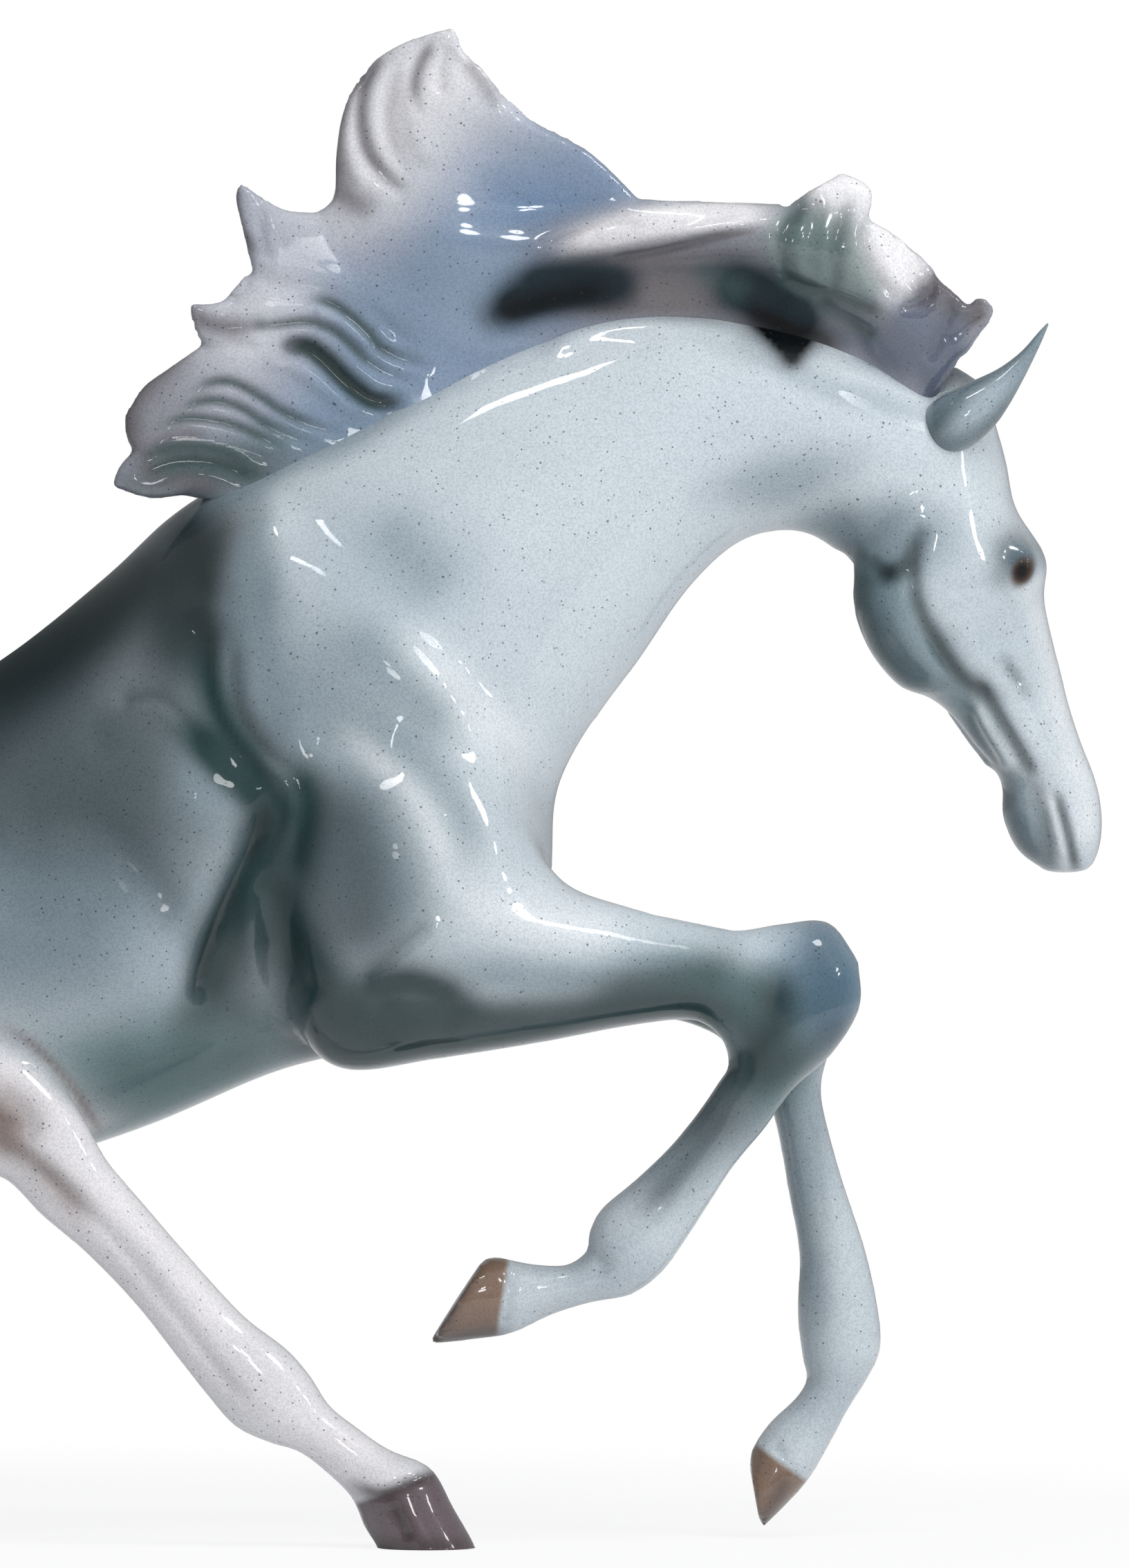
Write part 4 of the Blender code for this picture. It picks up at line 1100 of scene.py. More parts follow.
# Leaf between two edge lines, bulging to one side and hollow on the other
def leaf(stations):
    rings = []
    for low_x, low_z, high_x, high_z, depth, y in flow(stations, EAR_STEPS):
        low = np.array((low_x, y, low_z))
        high = np.array((high_x, y, high_z))
        ring = []
        for k in range(2 * EAR_HALF):
            angle = math.pi * k / EAR_HALF
            bulge = math.sqrt(max(1 - math.cos(angle) ** 2, 0.0))
            side = -bulge if k < EAR_HALF else bulge * (2 * EAR_WALL - 1 - EAR_CUP)
            ring.append(low + (high - low) * (1 - math.cos(angle)) / 2 + (0, depth * (side + EAR_SET), 0))
        rings.append(np.array(ring))
    return skin(rings)


right_points, right_faces = leaf(EAR_STATIONS)
left_points = mirrored(right_points, right_points, *HEAD_PLANE)[0]
left_faces = [tuple(i + len(right_points) for i in reversed(face)) for face in right_faces]
ears = shape("ears", np.vstack([right_points, left_points]), right_faces + left_faces)
applied(ears, "SUBSURF", levels=1, render_levels=1)
ears.data.shade_smooth()
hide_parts("right_ear", "left_ear")
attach(ears, "root")
# Painted shade and light on the ears: a steel base darker than the head, slate along base and rims, a paler
# dove band down the lit middle
EAR_SHADE_SPRAYS = [
    (300, 352, 16, 9, 50, SLATE, 0.95),
    (318, 352, 20, 7, 56, SLATE, 0.95),
    (316, 372, 26, 4, 44, SLATE, 0.7),
    (312, 362, 18, 5, 44, DOVE, 0.8),
]
paint = Paint(bpy.data.materials.new("ear_glaze"))
here, place = wandering(paint, 0.003)
colour = painted_areas(paint, tint(*STEEL), place, EAR_SHADE_SPRAYS)
ears.data.materials.append(glazed(paint, colour, here, POOLED_AND_SHADED, 0.75))


# Mane: one blown sheet of hair, modelled by hand in porcelain, its locks parting at the tips.
# It is luted along the crest and between the ears, grooved with a tool and sprayed blue and mauve; painted
# shade darkens its hollows and grooves, and painted light the top of the turned strip.
RIM = 0.8                 # half thickness along the free edges
THINNING = 0.8            # how early a sheet thins from its root to the tips
SPACING_STEPS = 24        # steps of a curve from which even spacing is read
HAIR_SOFTENING = 4


# Points spread evenly along a curve
def edge(points, rows):
    fine = flow(points, SPACING_STEPS)
    travel = np.concatenate([[0], np.cumsum(np.linalg.norm(np.diff(fine, axis=0), axis=1))])
    stops = np.linspace(0, travel[-1], rows)
    return np.array([[np.interp(s, travel, fine[:, k]) for k in range(3)] for s in stops])


# Middle surface of neighbouring locks that share their side lines; each lock is
# a low line, its tip line, a high line and its tip line
def sheet_of(locks, crest_rows, tip_rows, step):
    points = []
    faces = []
    outward = []
    for low, low_tip, high, high_tip in locks:
        a = np.vstack([edge(low, crest_rows), edge(low_tip, tip_rows)[1:]])
        b = np.vstack([edge(high, crest_rows), edge(high_tip, tip_rows)[1:]])
        wide = np.linalg.norm(b - a, axis=1).max()
        columns = max(6, int(wide / step))
        rows = len(a)
        start = len(points)
        for i in range(rows):
            for k in range(columns + 1):
                points.append(a[i] + (b[i] - a[i]) * k / columns)
                outward.append(i / (rows - 1))
        for i in range(rows - 1):
            for k in range(columns):
                c = start + i * (columns + 1) + k
                faces.append((c, c + 1, c + columns + 2, c + columns + 1))
    return np.array(points), faces, np.array(outward)


# Solid sheet of hair: the middle surface given half the thickness on each side, from root to tip, and
# rounded off over some width along its free edges
def hair_sheet(name, locks, root, tip, crest_rows, tip_rows, step, rounding, smoothing, grid):
    points, faces, outward = sheet_of(locks, crest_rows, tip_rows, step)
    bm = bmesh.new()
    share = bm.verts.layers.float.new("outward")
    for p, t in zip(points, outward):
        bm.verts.new(p)[share] = t
    bm.verts.ensure_lookup_table()
    for face in faces:
        bm.faces.new([bm.verts[i] for i in face])
    bmesh.ops.remove_doubles(bm, verts=bm.verts, dist=0.02)
    bmesh.ops.dissolve_degenerate(bm, edges=bm.edges, dist=0.01)
    free = [e for e in bm.edges if e.is_boundary]
    inner = [v for v in bm.verts if not v.is_boundary]
    softened(bm, inner, smoothing)
    rims = [e for e in free if max(v[share] for v in e.verts) > 0.01]
    marks = np.array([(e.verts[0].co + e.verts[1].co) / 2 for e in rims])
    bm.verts.index_update()
    bm.normal_update()
    middle = np.array([v.co for v in bm.verts])
    normals = np.array([v.normal for v in bm.verts])
    outward = np.array([v[share] for v in bm.verts])
    faces = [[v.index for v in f.verts] for f in bm.faces]
    sides = []
    for e in free:
        loop = e.link_loops[0]
        sides.append((loop.vert.index, loop.link_loop_next.vert.index))
    bm.free()
    gap = np.empty(len(middle))
    for i in range(0, len(middle), 2000):
        block = middle[i:i + 2000, None, :] - marks[None]
        gap[i:i + 2000] = np.sqrt((block ** 2).sum(axis=2)).min(axis=1)
    full = root + (tip - root) * outward ** THINNING
    reach = np.clip(gap / rounding, 0, 1)
    half = RIM + np.maximum(full - RIM, 0) * np.sqrt(1 - (1 - reach) ** 2)
    count = len(middle)
    if normals[:, 1].mean() > 0:
        normals = -normals
        faces = [face[::-1] for face in faces]
        sides = [(b, a) for a, b in sides]
    both = np.vstack([middle + normals * half[:, None], middle - normals * half[:, None]])
    solid = faces + [[i + count for i in face[::-1]] for face in faces]
    solid += [(b, a, a + count, b + count) for a, b in sides]
    return melted(name, [(both, solid)], grid, HAIR_SOFTENING)


M0 = [(84, -4, 322), (70, -6, 331), (60, -10, 334)]
M1 = [(98, 0, 330), (72, -6, 345), (43, -12, 348)]
M2 = [(114, 0, 338), (92, -4, 364), (65, -9, 381.5)]
M3 = [(128, 2, 344), (110, 0, 374), (94, -4, 392), (81, -6, 405)]
M4 = [(146, 4, 350), (125, 2, 384), (110, 0, 406), (101, -2, 423.5)]
M5 = [(178, 14, 368), (168, 10, 384), (166, 5, 396), (174, 0, 408), (188, -2, 418), (204, 0, 427.5)]
M6 = [(252, 20, 366), (251, 17, 388), (250, 8, 402), (248, -5, 410), (245, -10, 415), (247, -8, 420),
      (250, -3, 424.5)]
M7 = [(278, 26, 362), (276, 20, 385), (272, 8, 398), (272, 2, 409), (276.5, 4, 421.5)]
M8 = [(292, 28, 350), (300, 22, 367), (306.5, 18, 378)]
MANE = [
    (M0, [(60, -10, 334), (48, -14, 333), (36.3, -16, 336.5)],
     M1, [(43, -12, 348), (38.5, -14, 343), (36.3, -16, 337.5)]),
    (M1, [(43, -12, 348), (41, -14, 352), (40.3, -15, 358)],
     M2, [(65, -9, 381.5), (54, -11, 374), (46, -13, 368), (40.5, -15, 359)]),
    (M2, [(65, -9, 381.5), (62, -11, 388), (60.8, -12, 394)],
     M3, [(81, -6, 405), (75, -8, 397), (68, -10, 394.7), (60.8, -12, 394.8)]),
    (M3, [(81, -6, 405), (77.5, -8, 419), (75.3, -10, 429), (77, -11, 432.5)],
     M4, [(101, -2, 423.5), (91, -5, 424.5), (83, -8, 429), (77.8, -11, 432.5)]),
    (M4, [(101, -2, 423.5), (106.5, -3, 428), (107.3, -6, 441.5), (109, -9, 453), (113, -12, 463),
          (120, -14, 472), (130, -15, 478), (143.7, -16, 482.3)],
     M5, [(204, 0, 427.5), (189.5, -4, 441.5), (182, -6, 446), (173.3, -8, 450.3), (166, -9.5, 454.3),
          (160, -11, 460), (156.3, -12, 466), (152, -13, 471), (147, -14.5, 472.6), (144.8, -15.3, 475.5),
          (145.4, -15.6, 479), (144.6, -16, 482.3)]),
    (M5, [(204, 0, 427.5), (206, 0, 427.6)], M6, [(250, -3, 424.5), (249, -4, 425.2)]),
    (M6, [(250, -3, 424.5), (260, -2, 431.5), (268, 2, 436)],
     M7, [(276.5, 4, 421.5), (277.5, 3, 431), (269.5, 2, 436)]),
    (M7, [(276.5, 4, 421.5), (280.3, 5, 419.3), (284.3, 6, 417.3), (286.5, 6.6, 413.8), (290.5, 7.4, 412),
          (293.2, 8, 409), (293.2, 8.5, 402), (296, 9, 398.4), (299.2, 9.5, 403.4), (301, 10.3, 398.5),
          (303.3, 11, 394), (306.5, 12, 391.4), (309, 12.6, 393.6), (311.6, 13, 396.6), (314.4, 13.8, 396),
          (317.6, 14.5, 392.3)],
     M8, [(308, 18, 378), (311.5, 17, 383.5), (315, 16, 388), (317, 15, 391.5)]),
]
MANE_STROKES = [
    # wave
    (2.6, -1.8, [(121, 474), (116.5, 465), (115, 457), (115.8, 449), (119, 440.5), (124, 434), (132, 428)]),
    (3.0, -0.9, [(139, 479), (133.5, 471), (130, 462), (128.5, 452), (131, 443), (138, 434)]),
    (2.0, -0.9, [(138, 477), (133.5, 469), (132.5, 462), (134, 453)]),
    (2.6, -0.8, [(128, 473), (124, 461), (123.5, 450), (126.5, 441), (134, 432)]),
    (2.2, -0.7, [(143, 478), (140.5, 469), (141, 460)]),
    (3.0, -0.6, [(146, 471), (150.5, 467), (154.5, 461), (160, 455)]),
    (2.4, 0.9, [(114, 466), (111.5, 452), (112, 441), (117, 430)]),
    (5.0, -0.8, [(105, 433), (112, 428), (121, 422)]),
    # lower locks
    (3.0, -0.9, [(78, 404), (90, 401), (101, 400), (112, 396), (122, 389), (134, 380)]),
    (2.2, -1.4, [(97, 397), (105, 395), (111, 391.5), (117, 386), (122, 380.5), (129, 377), (139, 374.5)]),
    (2.4, 1.3, [(99, 392), (107, 389), (113, 385), (119, 379)]),
    (2.2, -1.2, [(77, 387), (88, 388), (98, 389), (106, 386.5), (112, 381.5), (118, 376), (125, 372),
                 (136, 369.5)]),
    (3.0, -3.4, [(87, 380.5), (97, 381), (103.5, 377), (109, 371.5), (114.5, 366.5), (120, 363.5),
                 (130, 363)]),
    (2.8, 1.4, [(82, 376), (92, 375.5), (99, 371.5), (105, 366.5), (112, 361.5), (122, 359.5)]),
    (1.8, -0.9, [(59, 365), (66, 369), (71.5, 370), (77, 368.5), (84, 364.5), (92, 359.5), (101, 355.5),
                 (112, 353)]),
    (1.8, -0.9, [(55, 361), (64, 363.5), (71, 363.5), (78, 361), (85, 356.5), (93, 352.5), (103, 349)]),
    (1.7, -0.8, [(49, 354.5), (58, 358), (66, 358), (75, 356), (83, 352.5), (93, 348)]),
    (1.7, -0.8, [(45, 349), (55, 352.5), (64, 352.5), (73, 350.5), (81, 347.5), (90, 344)]),
    (1.8, -0.8, [(42, 344.5), (52, 348), (61, 349), (70, 347.5), (80, 343.5)]),
    (2.6, -1.4, [(43, 339.5), (54, 344), (63, 344.8), (72, 343), (82, 338.5)]),
    (3.0, -1.4, [(60, 389.5), (68, 387.5), (75, 387), (86, 388.5)]),
    (2.2, -0.8, [(62, 380.5), (72, 382), (84, 381)]),
    (2.0, -0.8, [(84.4, 431), (83.7, 419), (86, 407)]),
    # turned strip
    (2.0, -1.8, [(192, 408.5), (206, 410.5), (216, 413), (228, 416), (243, 418.5)]),
    (1.8, -1.0, [(171, 412.5), (182, 417), (192, 419.5), (206, 421)]),
    # curl and poll locks
    (2.4, -1.6, [(258, 429), (252, 420.5), (249.5, 412), (250.5, 401)]),
    (2.6, -1.2, [(272, 430), (268, 418), (266.5, 408), (266, 396)]),
    (2.4, -0.8, [(260, 430), (259, 418), (257, 404)]),
    (2.2, -1.8, [(247, 403), (258, 399), (268, 396), (282, 391)]),
    (2.4, -1.6, [(259, 395.5), (270, 389.5), (280, 384)]),
    (2.4, -1.4, [(275.5, 422), (277.5, 410), (281.5, 402), (288.5, 394.5)]),
    (2.0, -1.5, [(286, 393.5), (293, 394.5), (297, 398), (299, 403)]),
    (2.4, 1.0, [(279, 419), (283, 408), (288, 400), (294, 396)]),
    (2.4, -1.2, [(302.5, 399), (303, 391), (300, 384), (296, 375)]),
    (2.2, -1.0, [(314, 393), (308, 388), (302, 382)]),
]


# Hollow under the turned strip, seen from the right only, and the lip above it
FOLD_HOLLOW = [
    (6.0, -3.0, [(154, 391), (166, 396), (178, 399), (192, 399), (204, 400)]),
    (6.0, -2.6, [(194, 401), (216, 401), (236, 400), (254, 393)]),
    (2.4, 1.8, [(168, 408), (180, 410.5), (192, 411.5), (206, 413.5), (222, 417), (243, 420.5)]),
]


# Swells of the blown hair towards the right: middle, half sizes and rise in the side view
MANE_SWELLS = [
    ((140, 418), 24, 17, 4.5),
    ((112, 396), 12, 9, 1.4),
    ((84, 374), 16, 8, 1.6),
]


# Grooves in hair, cut on both faces, each along its own normal
def combed(obj, strokes, right_only=(), swells=()):
    points, normals = points_and_normals(obj)
    height = np.zeros(len(points))
    swollen = np.zeros(len(points))
    for (x, z), rx, rz, rise in swells:
        swollen += rise * np.exp(-((points[:, 0] - x) / rx) ** 2 - ((points[:, 2] - z) / rz) ** 2)
    for view, turned in ((points, normals), mirrored(points, normals, (0, 0), 0)):
        height += carving(view, turned, strokes)
    moved = points + normals * (height + carving(points, normals, right_only))[:, None]
    moved[:, 1] -= swollen
    moved[:, 2] = np.maximum(moved[:, 2], 0.0)
    put_points(obj, moved)
    finished(obj, height)


mane = hair_sheet("mane", MANE, root=8.0, tip=1.8, crest_rows=30, tip_rows=26, step=1.0, rounding=7.0,
                  smoothing=6, grid=0.00105)
combed(mane, MANE_STROKES, FOLD_HOLLOW, MANE_SWELLS)
MANE_NODES = ("mane_withers_lock", "mane_low_lock", "mane_third_lock", "mane_second_lock",
              "mane_wave", "mane_fold", "mane_curl", "forelock")
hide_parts(*MANE_NODES)
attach(mane, "root")

CREAM = (236, 234, 236)
LILAC = (172, 175, 186)
SKY = (108, 133, 163)
MAUVE = (130, 130, 137)
SMOKE = (86, 88, 95)
MOSS = (92, 114, 116)
MANE_SPRAYS_AND_SHADE = [
    # wave, from its cream tip to the blue foot
    (134, 452, 50, 40, 40, CREAM, 0.9),
    (178, 422, 48, 36, -20, SKY, 0.97),
    (148, 400, 56, 28, 14, SKY, 0.8),
    # lower locks, grey at the tips and blue towards the crest
    (128, 366, 70, 22, 28, SKY, 0.75),
    (84, 390, 34, 18, 30, CREAM, 0.35),
    (46, 362, 26, 22, 40, MAUVE, 0.75),
    (76, 344, 50, 12, 16, MOSS, 0.7),
    (60, 340, 34, 8, 8, SMOKE, 0.8),
    # turned strip, curl and forelock; the mauve on the strip and the smoke at the curl's foot are painted
    # shade of the hollow under the strip
    (200, 416, 44, 12, 8, MAUVE, 0.9),
    (250, 396, 60, 30, 0, SMOKE, 0.6),
    (270, 434, 16, 12, 10, PEARL, 0.95),
    (284, 386, 40, 14, -30, MAUVE, 0.9),
]
# Mane colours stroked on: blue glaze, painted shade in hollows and grooves, painted light on the turned
# strip
MANE_COATS_AND_SHADE = [
    ("blue_coat", (128, 148, 170), [
        (18, 0.9, [(164, 430), (148, 402), (138, 384), (118, 368), (84, 346)]),
        (12, 0.6, [(120, 410), (112, 396), (124, 380)]),
    ]),
    # green-grey painted shade in the hollow of the curl
    ("moss_shade_coat", (112, 128, 126), [
        (10, 1.2, [(263, 434), (264, 413), (264, 392)]),
        (9, 1.2, [(255, 430), (252, 410), (255, 390)]),
        (8, 1.1, [(273, 426), (273, 406), (282, 390)]),
    ]),
    # cream glaze on the lobe and the curl's tip, and painted light along the lit top of the turned strip
    ("cream_and_light_coat", CREAM, [
        (5, 1.5, [(172, 410), (202, 419), (220, 422), (254, 425)]),
        (7, 1.5, [(278, 426), (284, 411), (289, 403), (293, 389)]),
        (8, 1.2, [(256, 438), (270, 430), (284, 428)]),
    ]),
    # brown painted shade under the turned strip and in the wave's grooves, and painted dark edge reflection
    # at the lock tips, edges and forelock
    ("brown_shade_coat", (104, 98, 102), [
        (9.5, 2.0, [(168, 400), (204, 401), (220, 401.5), (252, 402)]),
        (1.7, 0.8, [(190, 409), (212, 412.5), (224, 415.5), (246, 419)]),
        (2.2, 0.7, [(130, 478), (114, 465), (109.5, 454), (108, 443), (108, 422)]),
        (5, 0.7, [(105, 446), (110, 430), (122, 422)]),
        (2.2, 0.75, [(123, 477), (116.3, 464), (115, 457), (115.5, 449.5), (118.5, 441), (129, 429)]),
        (1.8, 0.5, [(140, 481), (133.3, 469.5), (131.6, 456)]),
        (3.0, 0.4, [(147, 475), (154, 465), (161, 456)]),
        (3.0, 0.3, [(129, 472), (126, 452), (132, 436)]),
        (5, 0.9, [(64, 386), (44.5, 367), (41.5, 358), (44, 340)]),
        (2.4, 0.8, [(84, 408), (76, 419), (75.3, 427), (77, 436)]),
        (4, 0.6, [(40, 342), (52, 350), (70, 354)]),
        (4, 0.7, [(57, 399), (66, 389), (84, 386)]),
        (4, 0.7, [(40, 343), (54, 340), (72, 336)]),
        (6, 1.4, [(288, 402), (302, 394), (320, 391)]),
        (2.6, 1.2, [(297, 407), (301, 398), (308, 391)]),
    ]),
    ("dusk_coat", (92, 100, 117), [
        (10, 1.2, [(278, 392), (298, 384), (314, 380)]),
        (8, 1.3, [(292, 390), (299, 374), (303, 356)]),
        (7, 0.9, [(256, 390), (278, 382), (298, 370)]),
    ]),
    # dark painted shadow in the deep hollow under the turned strip
    ("navy_shadow_coat", (34, 50, 58), [
        (7, 1.4, [(149, 387), (163, 394), (178, 398), (192, 400), (210, 400.5)]),
        (6, 1.2, [(160, 394), (169, 401.5), (180, 403), (194, 402), (208, 400)]),
        (9, 1.5, [(222, 404), (240, 398), (252, 391), (268, 385)]),
    ]),
    # dark green painted shade in the grooves of the lower locks and the curl
    ("pine_shade_coat", (62, 82, 82), [
        (2.2, 0.5, [(256, 430), (254, 416), (253, 398)]),
        (2.0, 0.4, [(263, 432), (262, 416), (260, 398)]),
        (3.6, 0.55, [(262, 434), (253, 422), (250.5, 412), (252, 396)]),
        (3.6, 0.5, [(272, 432), (268, 418), (266.5, 408), (266, 392)]),
        (3.0, 0.3, [(258, 430), (259, 414), (256, 400)]),
        (2.6, 0.9, [(244, 404), (258, 399), (268, 396), (286, 389)]),
        (2.8, 0.8, [(256, 397), (270, 389.5), (284, 382)]),
        (5, 0.8, [(218, 407), (230, 402), (242, 397)]),
        (3.6, 1.2, [(84, 380), (97, 381), (103.5, 377), (109, 371.5), (114.5, 366.5), (120, 363.5),
                    (133, 363)]),
        (1.9, 0.9, [(94, 397), (105, 395), (111, 391.5), (117, 386), (122, 380.5), (133, 375.5)]),
        (1.9, 0.8, [(73, 387), (88, 388), (98, 389), (106, 386.5), (112, 381.5), (118, 376), (129, 370.5)]),
        (1.8, 0.85, [(57, 364), (66, 369), (71.5, 370), (77, 368.5), (84, 364.5), (92, 359.5), (107, 354)]),
        (1.8, 0.85, [(53, 360), (64, 363.5), (71, 363.5), (78, 361), (85, 356.5), (97, 351)]),
        (1.8, 0.85, [(47, 354), (58, 358), (66, 358), (75, 356), (83, 352.5), (95, 347.5)]),
        (2.0, 0.9, [(42, 344), (52, 348.5), (61, 349.5), (70, 348.3), (84, 344)]),
        (5, 1.0, [(42, 339), (58, 344.5), (72, 343), (92, 337)]),
    ]),
    # black painted shadow in the pit under the turned strip and the notch at the crest
    ("painted_shadow_coat", NIGHT, [
        (5, 0.9, [(148, 386.5), (161, 392), (174, 395.5), (188, 398), (204, 399.5)]),
        (5, 1.2, [(232, 395), (246, 388), (256, 384), (274, 380)]),
    ]),
]
painted_strokes(mane, MANE_COATS_AND_SHADE)
paint = Paint(bpy.data.materials.new("mane_glaze"))
HAIR_WANDER = 0.006
here, place = wandering(paint, HAIR_WANDER)
colour = painted_areas(paint, tint(*LILAC), place, MANE_SPRAYS_AND_SHADE)
colour = coated(paint, colour, MANE_COATS_AND_SHADE)
DULL_LOCKS = [
    # lower locks, tips of the second lock
    (84, 368, 62, 36, 30, 0.8, 0.15),
    (92, 412, 26, 22, 0, 0.7, 0.15),
]
dull = unglazed(paint, place, DULL_LOCKS) + carried(paint, "navy_shadow_coat")
mane.data.materials.append(glazed(paint, colour, here, (118, 114, 118), 0.55, dull))


# Tail: modelled in locks like the mane, luted over the dock and grooved along its length.
# Its two long locks end flat on the ground and carry the figure's hindquarters.
T0 = [(-182, 0, 148), (-214, 4, 152), (-238, 12, 132), (-246, 20, 104)]
T1 = [(-182, -1, 158), (-216, 2, 166), (-246, 8, 148), (-258, 14, 116)]
T2 = [(-182, 0, 168), (-216, 0, 180), (-254, 1, 164), (-271, 2, 128)]
T3 = [(-182, 1, 178), (-216, -2, 194), (-262, -6, 182), (-284, -10, 142)]
T4 = [(-180, 2, 187), (-214, -4, 207), (-266, -12, 202), (-298, -18, 158)]
TAIL = [
    (T0, [(-246, 20, 104), (-244, 26, 74), (-224, 30, 46)],
     T1, [(-258, 14, 116), (-258, 22, 78), (-226, 30, 43)]),
    (T1, [(-258, 14, 116), (-262, 18, 78), (-252, 18, 40), (-232, 14, -4)],
     T2, [(-271, 2, 128), (-277, 8, 84), (-271, 12, 42), (-252, 12, -4)]),
    (T2, [(-271, 2, 128), (-283, 2, 84), (-286, -5, 42), (-277, -9, -4)],
     T3, [(-284, -10, 142), (-299, -11, 98), (-307, -13, 50), (-303, -13, -4)]),
    (T3, [(-284, -10, 142), (-302, -15, 106), (-312, -19, 76), (-333.6, -22, 48)],
     T4, [(-298, -18, 158), (-320, -22, 118), (-325, -24, 84), (-334.6, -23, 51)]),
]
FLUTE_POINTS = 9


# Flutes that run along the locks between their two side lines
def flutes(locks, kinds):
    strokes = []
    for low, low_tip, high, high_tip in locks:
        a = edge(low + low_tip[1:], FLUTE_POINTS)[:, [0, 2]]
        b = edge(high + high_tip[1:], FLUTE_POINTS)[:, [0, 2]]
        for share, radius, depth in kinds:
            strokes.append((radius, depth, [tuple(p) for p in a + (b - a) * share]))
    return strokes


TAIL_FLUTES = [
    # share across the lock, radius, depth
    (0.0, 3.0, -2.4),
    (0.14, 1.8, -0.8),
    (0.3, 2.2, -1.4),
    (0.42, 1.6, -0.7),
    (0.56, 2.4, -1.7),
    (0.68, 1.6, -0.7),
    (0.8, 2.0, -1.2),
    (0.9, 1.6, -0.7),
]
tail = hair_sheet("tail", TAIL, root=15.0, tip=5.5, crest_rows=40, tip_rows=44, step=1.5, rounding=11.0,
                  smoothing=8, grid=0.0016)
combed(tail, flutes(TAIL, TAIL_FLUTES))
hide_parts("tail_inner_lock", "tail_front_foot_lock", "tail_rear_foot_lock", "tail_outer_lock")
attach(tail, "root")

TAIL_SPRAYS = [
    (-196, 180, 44, 30, 0, SKY, 0.75),
    (-240, 160, 50, 26, -50, LILAC, 0.6),
    (-272, 90, 26, 60, 0, CREAM, 0.6),
    (-262, 16, 60, 30, 0, MAUVE, 0.55),
    (-330, 56, 26, 26, 0, MAUVE, 0.5),
]
paint = Paint(bpy.data.materials.new("tail_glaze"))
here, place = wandering(paint, HAIR_WANDER)
colour = painted_areas(paint, tint(*LILAC), place, TAIL_SPRAYS)
tail.data.materials.append(glazed(paint, colour, here, (104, 104, 112), 0.7))


# Setting: a pale paper floor under the figure, soft panels of light that leave no reflection,
# a strip and a group of small round lamps that do, and a white surround.
FLOOR_REACH = 3.0
SHADOW_REACH = 0.3        # within this of the horse the paper glows by the share below only
SHADOW_GLOW = 0.86
CLEAR_FROM = 0.6          # from here on it is plain white
floor_mesh = bpy.data.meshes.new("floor")
floor_mesh.from_pydata([(-FLOOR_REACH, -FLOOR_REACH, 0), (FLOOR_REACH, -FLOOR_REACH, 0),
                        (FLOOR_REACH, FLOOR_REACH, 0), (-FLOOR_REACH, FLOOR_REACH, 0)], [], [(0, 1, 2, 3)])
floor = bpy.data.objects.new("floor", floor_mesh)
bpy.context.scene.collection.objects.link(floor)
paint = Paint(bpy.data.materials.new("floor_paper"))
here = paint.node("TexCoord", None, None, "Object")
grain = paint.noise(here, 900.0, 2.0)
paper = paint.mix(paint.ramp(grain, 0.3, 0.7, 0.0, 0.3), tint(246, 247, 248), tint(240, 241, 243))
paint.feed(paint.shader.inputs["Base Color"], paper)
paint.shader.inputs["Roughness"].default_value = 0.9
seen = paint.node("LightPath", None, None, "Is Camera Ray")
away = paint.node("VectorMath", {"operation": "LENGTH"}, {0: here}, "Value")
glow = paint.node("Emission", None, {"Color": (1.0, 1.0, 1.0), "Strength": 1.0})
far = paint.ramp(away, SHADOW_REACH, CLEAR_FROM, SHADOW_GLOW, 1.0) * seen
mixed = paint.node("MixShader", None, {0: far, 1: Field(paint, paint.shader.outputs[0]), 2: glow})
paint.feed(paint.tree.nodes["Material Output"].inputs["Surface"], mixed)
floor_mesh.materials.append(paint.material)


AIM = (0.17, 0.0, 0.26)   # what every lamp points at, in metres


# Round lamp, or a rectangular one when it has a second size
def lamp(name, size, place, power, size_y=None):
    data = bpy.data.lights.new(name, "AREA")
    data.shape = "RECTANGLE" if size_y else "DISK"
    data.size = size
    data.size_y = size_y or size
    data.energy = power
    obj = bpy.data.objects.new(name, data)
    obj.location = place
    obj.rotation_euler = (Vector(AIM) - Vector(place)).to_track_quat("-Z", "Y").to_euler()
    bpy.context.scene.collection.objects.link(obj)
    return obj


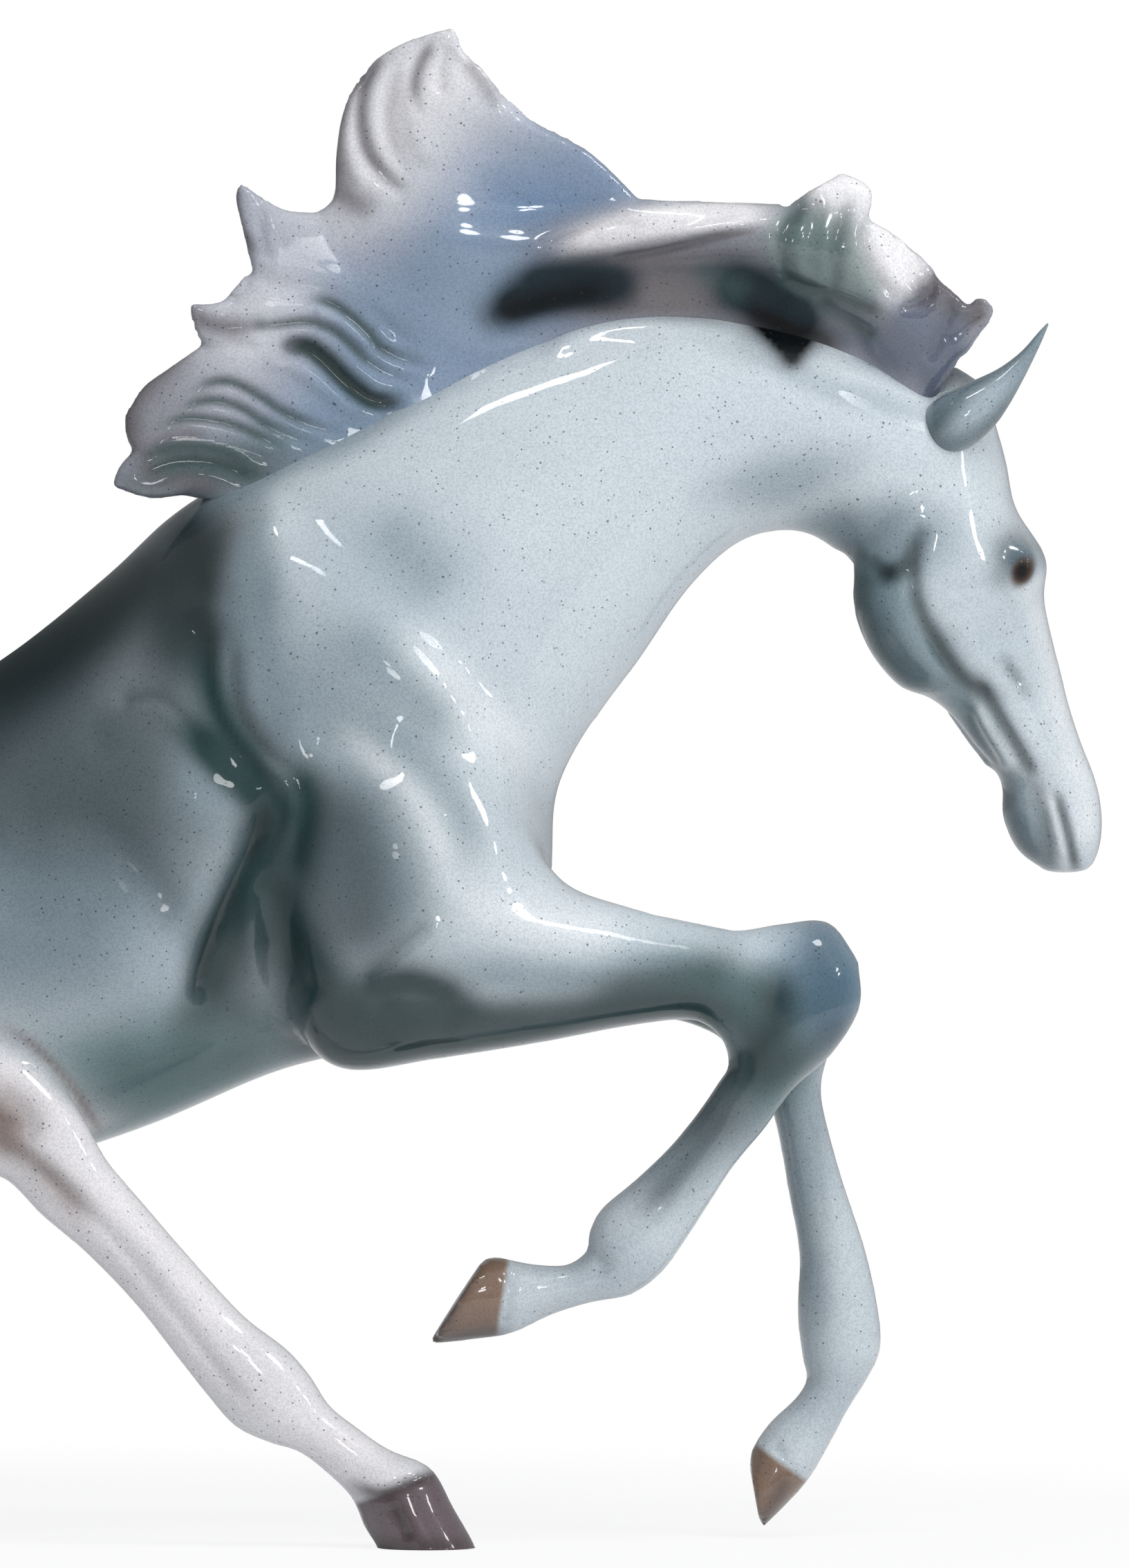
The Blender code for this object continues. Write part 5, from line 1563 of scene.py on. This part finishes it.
PANELS = [
    # name, width, height, place, power
    ("sky_panel", 1.3, 1.1, (0.55, -0.8, 1.6), 12.5),
    ("front_panel", 1.1, 0.9, (1.5, -1.3, 0.55), 8.5),
    ("far_panel", 1.3, 1.1, (-0.5, 1.6, 0.9), 7.0),
]
for name, width, height, place, power in PANELS:
    lamp(name, width, place, power, height).visible_glossy = False
lamp("strip_lamp", 0.26, (0.0, -0.53, 1.48), 1.2, 0.07)
LAMPS = [
    # size, place, power
    (0.24, (1.05, -0.58, 1.03), 2.2),
    (0.11, (1.40, -0.62, 0.77), 0.5),
    (0.10, (1.44, -0.56, 0.57), 0.45),
    (0.13, (0.42, -1.30, 0.51), 0.7),
    (0.09, (0.43, -1.30, 0.66), 0.36),
]
for number, (size, place, power) in enumerate(LAMPS):
    lamp(f"round_lamp_{number + 1}", size, place, power)

world = bpy.data.worlds.new("surround")
bpy.context.scene.world = world
paint = Paint(world)
room = paint.node("Background", None, {"Color": (0.96, 0.98, 1.0), "Strength": 0.3})
white = paint.node("Background", None, {"Color": (1.0, 1.0, 1.0), "Strength": 1.0})
seen = paint.node("LightPath", None, None, "Is Camera Ray")
surround = paint.node("MixShader", None, {0: seen, 1: room, 2: white})
paint.feed(paint.tree.nodes["World Output"].inputs["Surface"], surround)

# Camera: level with the horse and square to its right side, with the rump and the tail outside the frame.
# A long lens from far off, as in a catalogue.
VIEW_MIDDLE = (180, 241.5)        # in the drawing
VIEW_HEIGHT = 500                 # of the frame at the horse's middle plane
DISTANCE = 7.0
ELEVATION = 1.5                   # degrees
SENSOR = 36.0
camera_data = bpy.data.cameras.new("camera")
camera = bpy.data.objects.new("camera", camera_data)
bpy.context.scene.collection.objects.link(camera)
target = Vector(((VIEW_MIDDLE[0] - ORIGIN[0]) * MM, -ORIGIN[1] * MM, VIEW_MIDDLE[1] * MM))
rise = math.radians(ELEVATION)
camera.location = target + Vector((0, -math.cos(rise), math.sin(rise))) * DISTANCE
camera.rotation_euler = (target - camera.location).to_track_quat("-Z", "Y").to_euler()
camera_data.sensor_fit = "VERTICAL"
camera_data.sensor_height = SENSOR
camera_data.lens = SENSOR * DISTANCE / (VIEW_HEIGHT * MM)
bpy.context.scene.camera = camera
bpy.context.scene.view_settings.view_transform = "Standard"
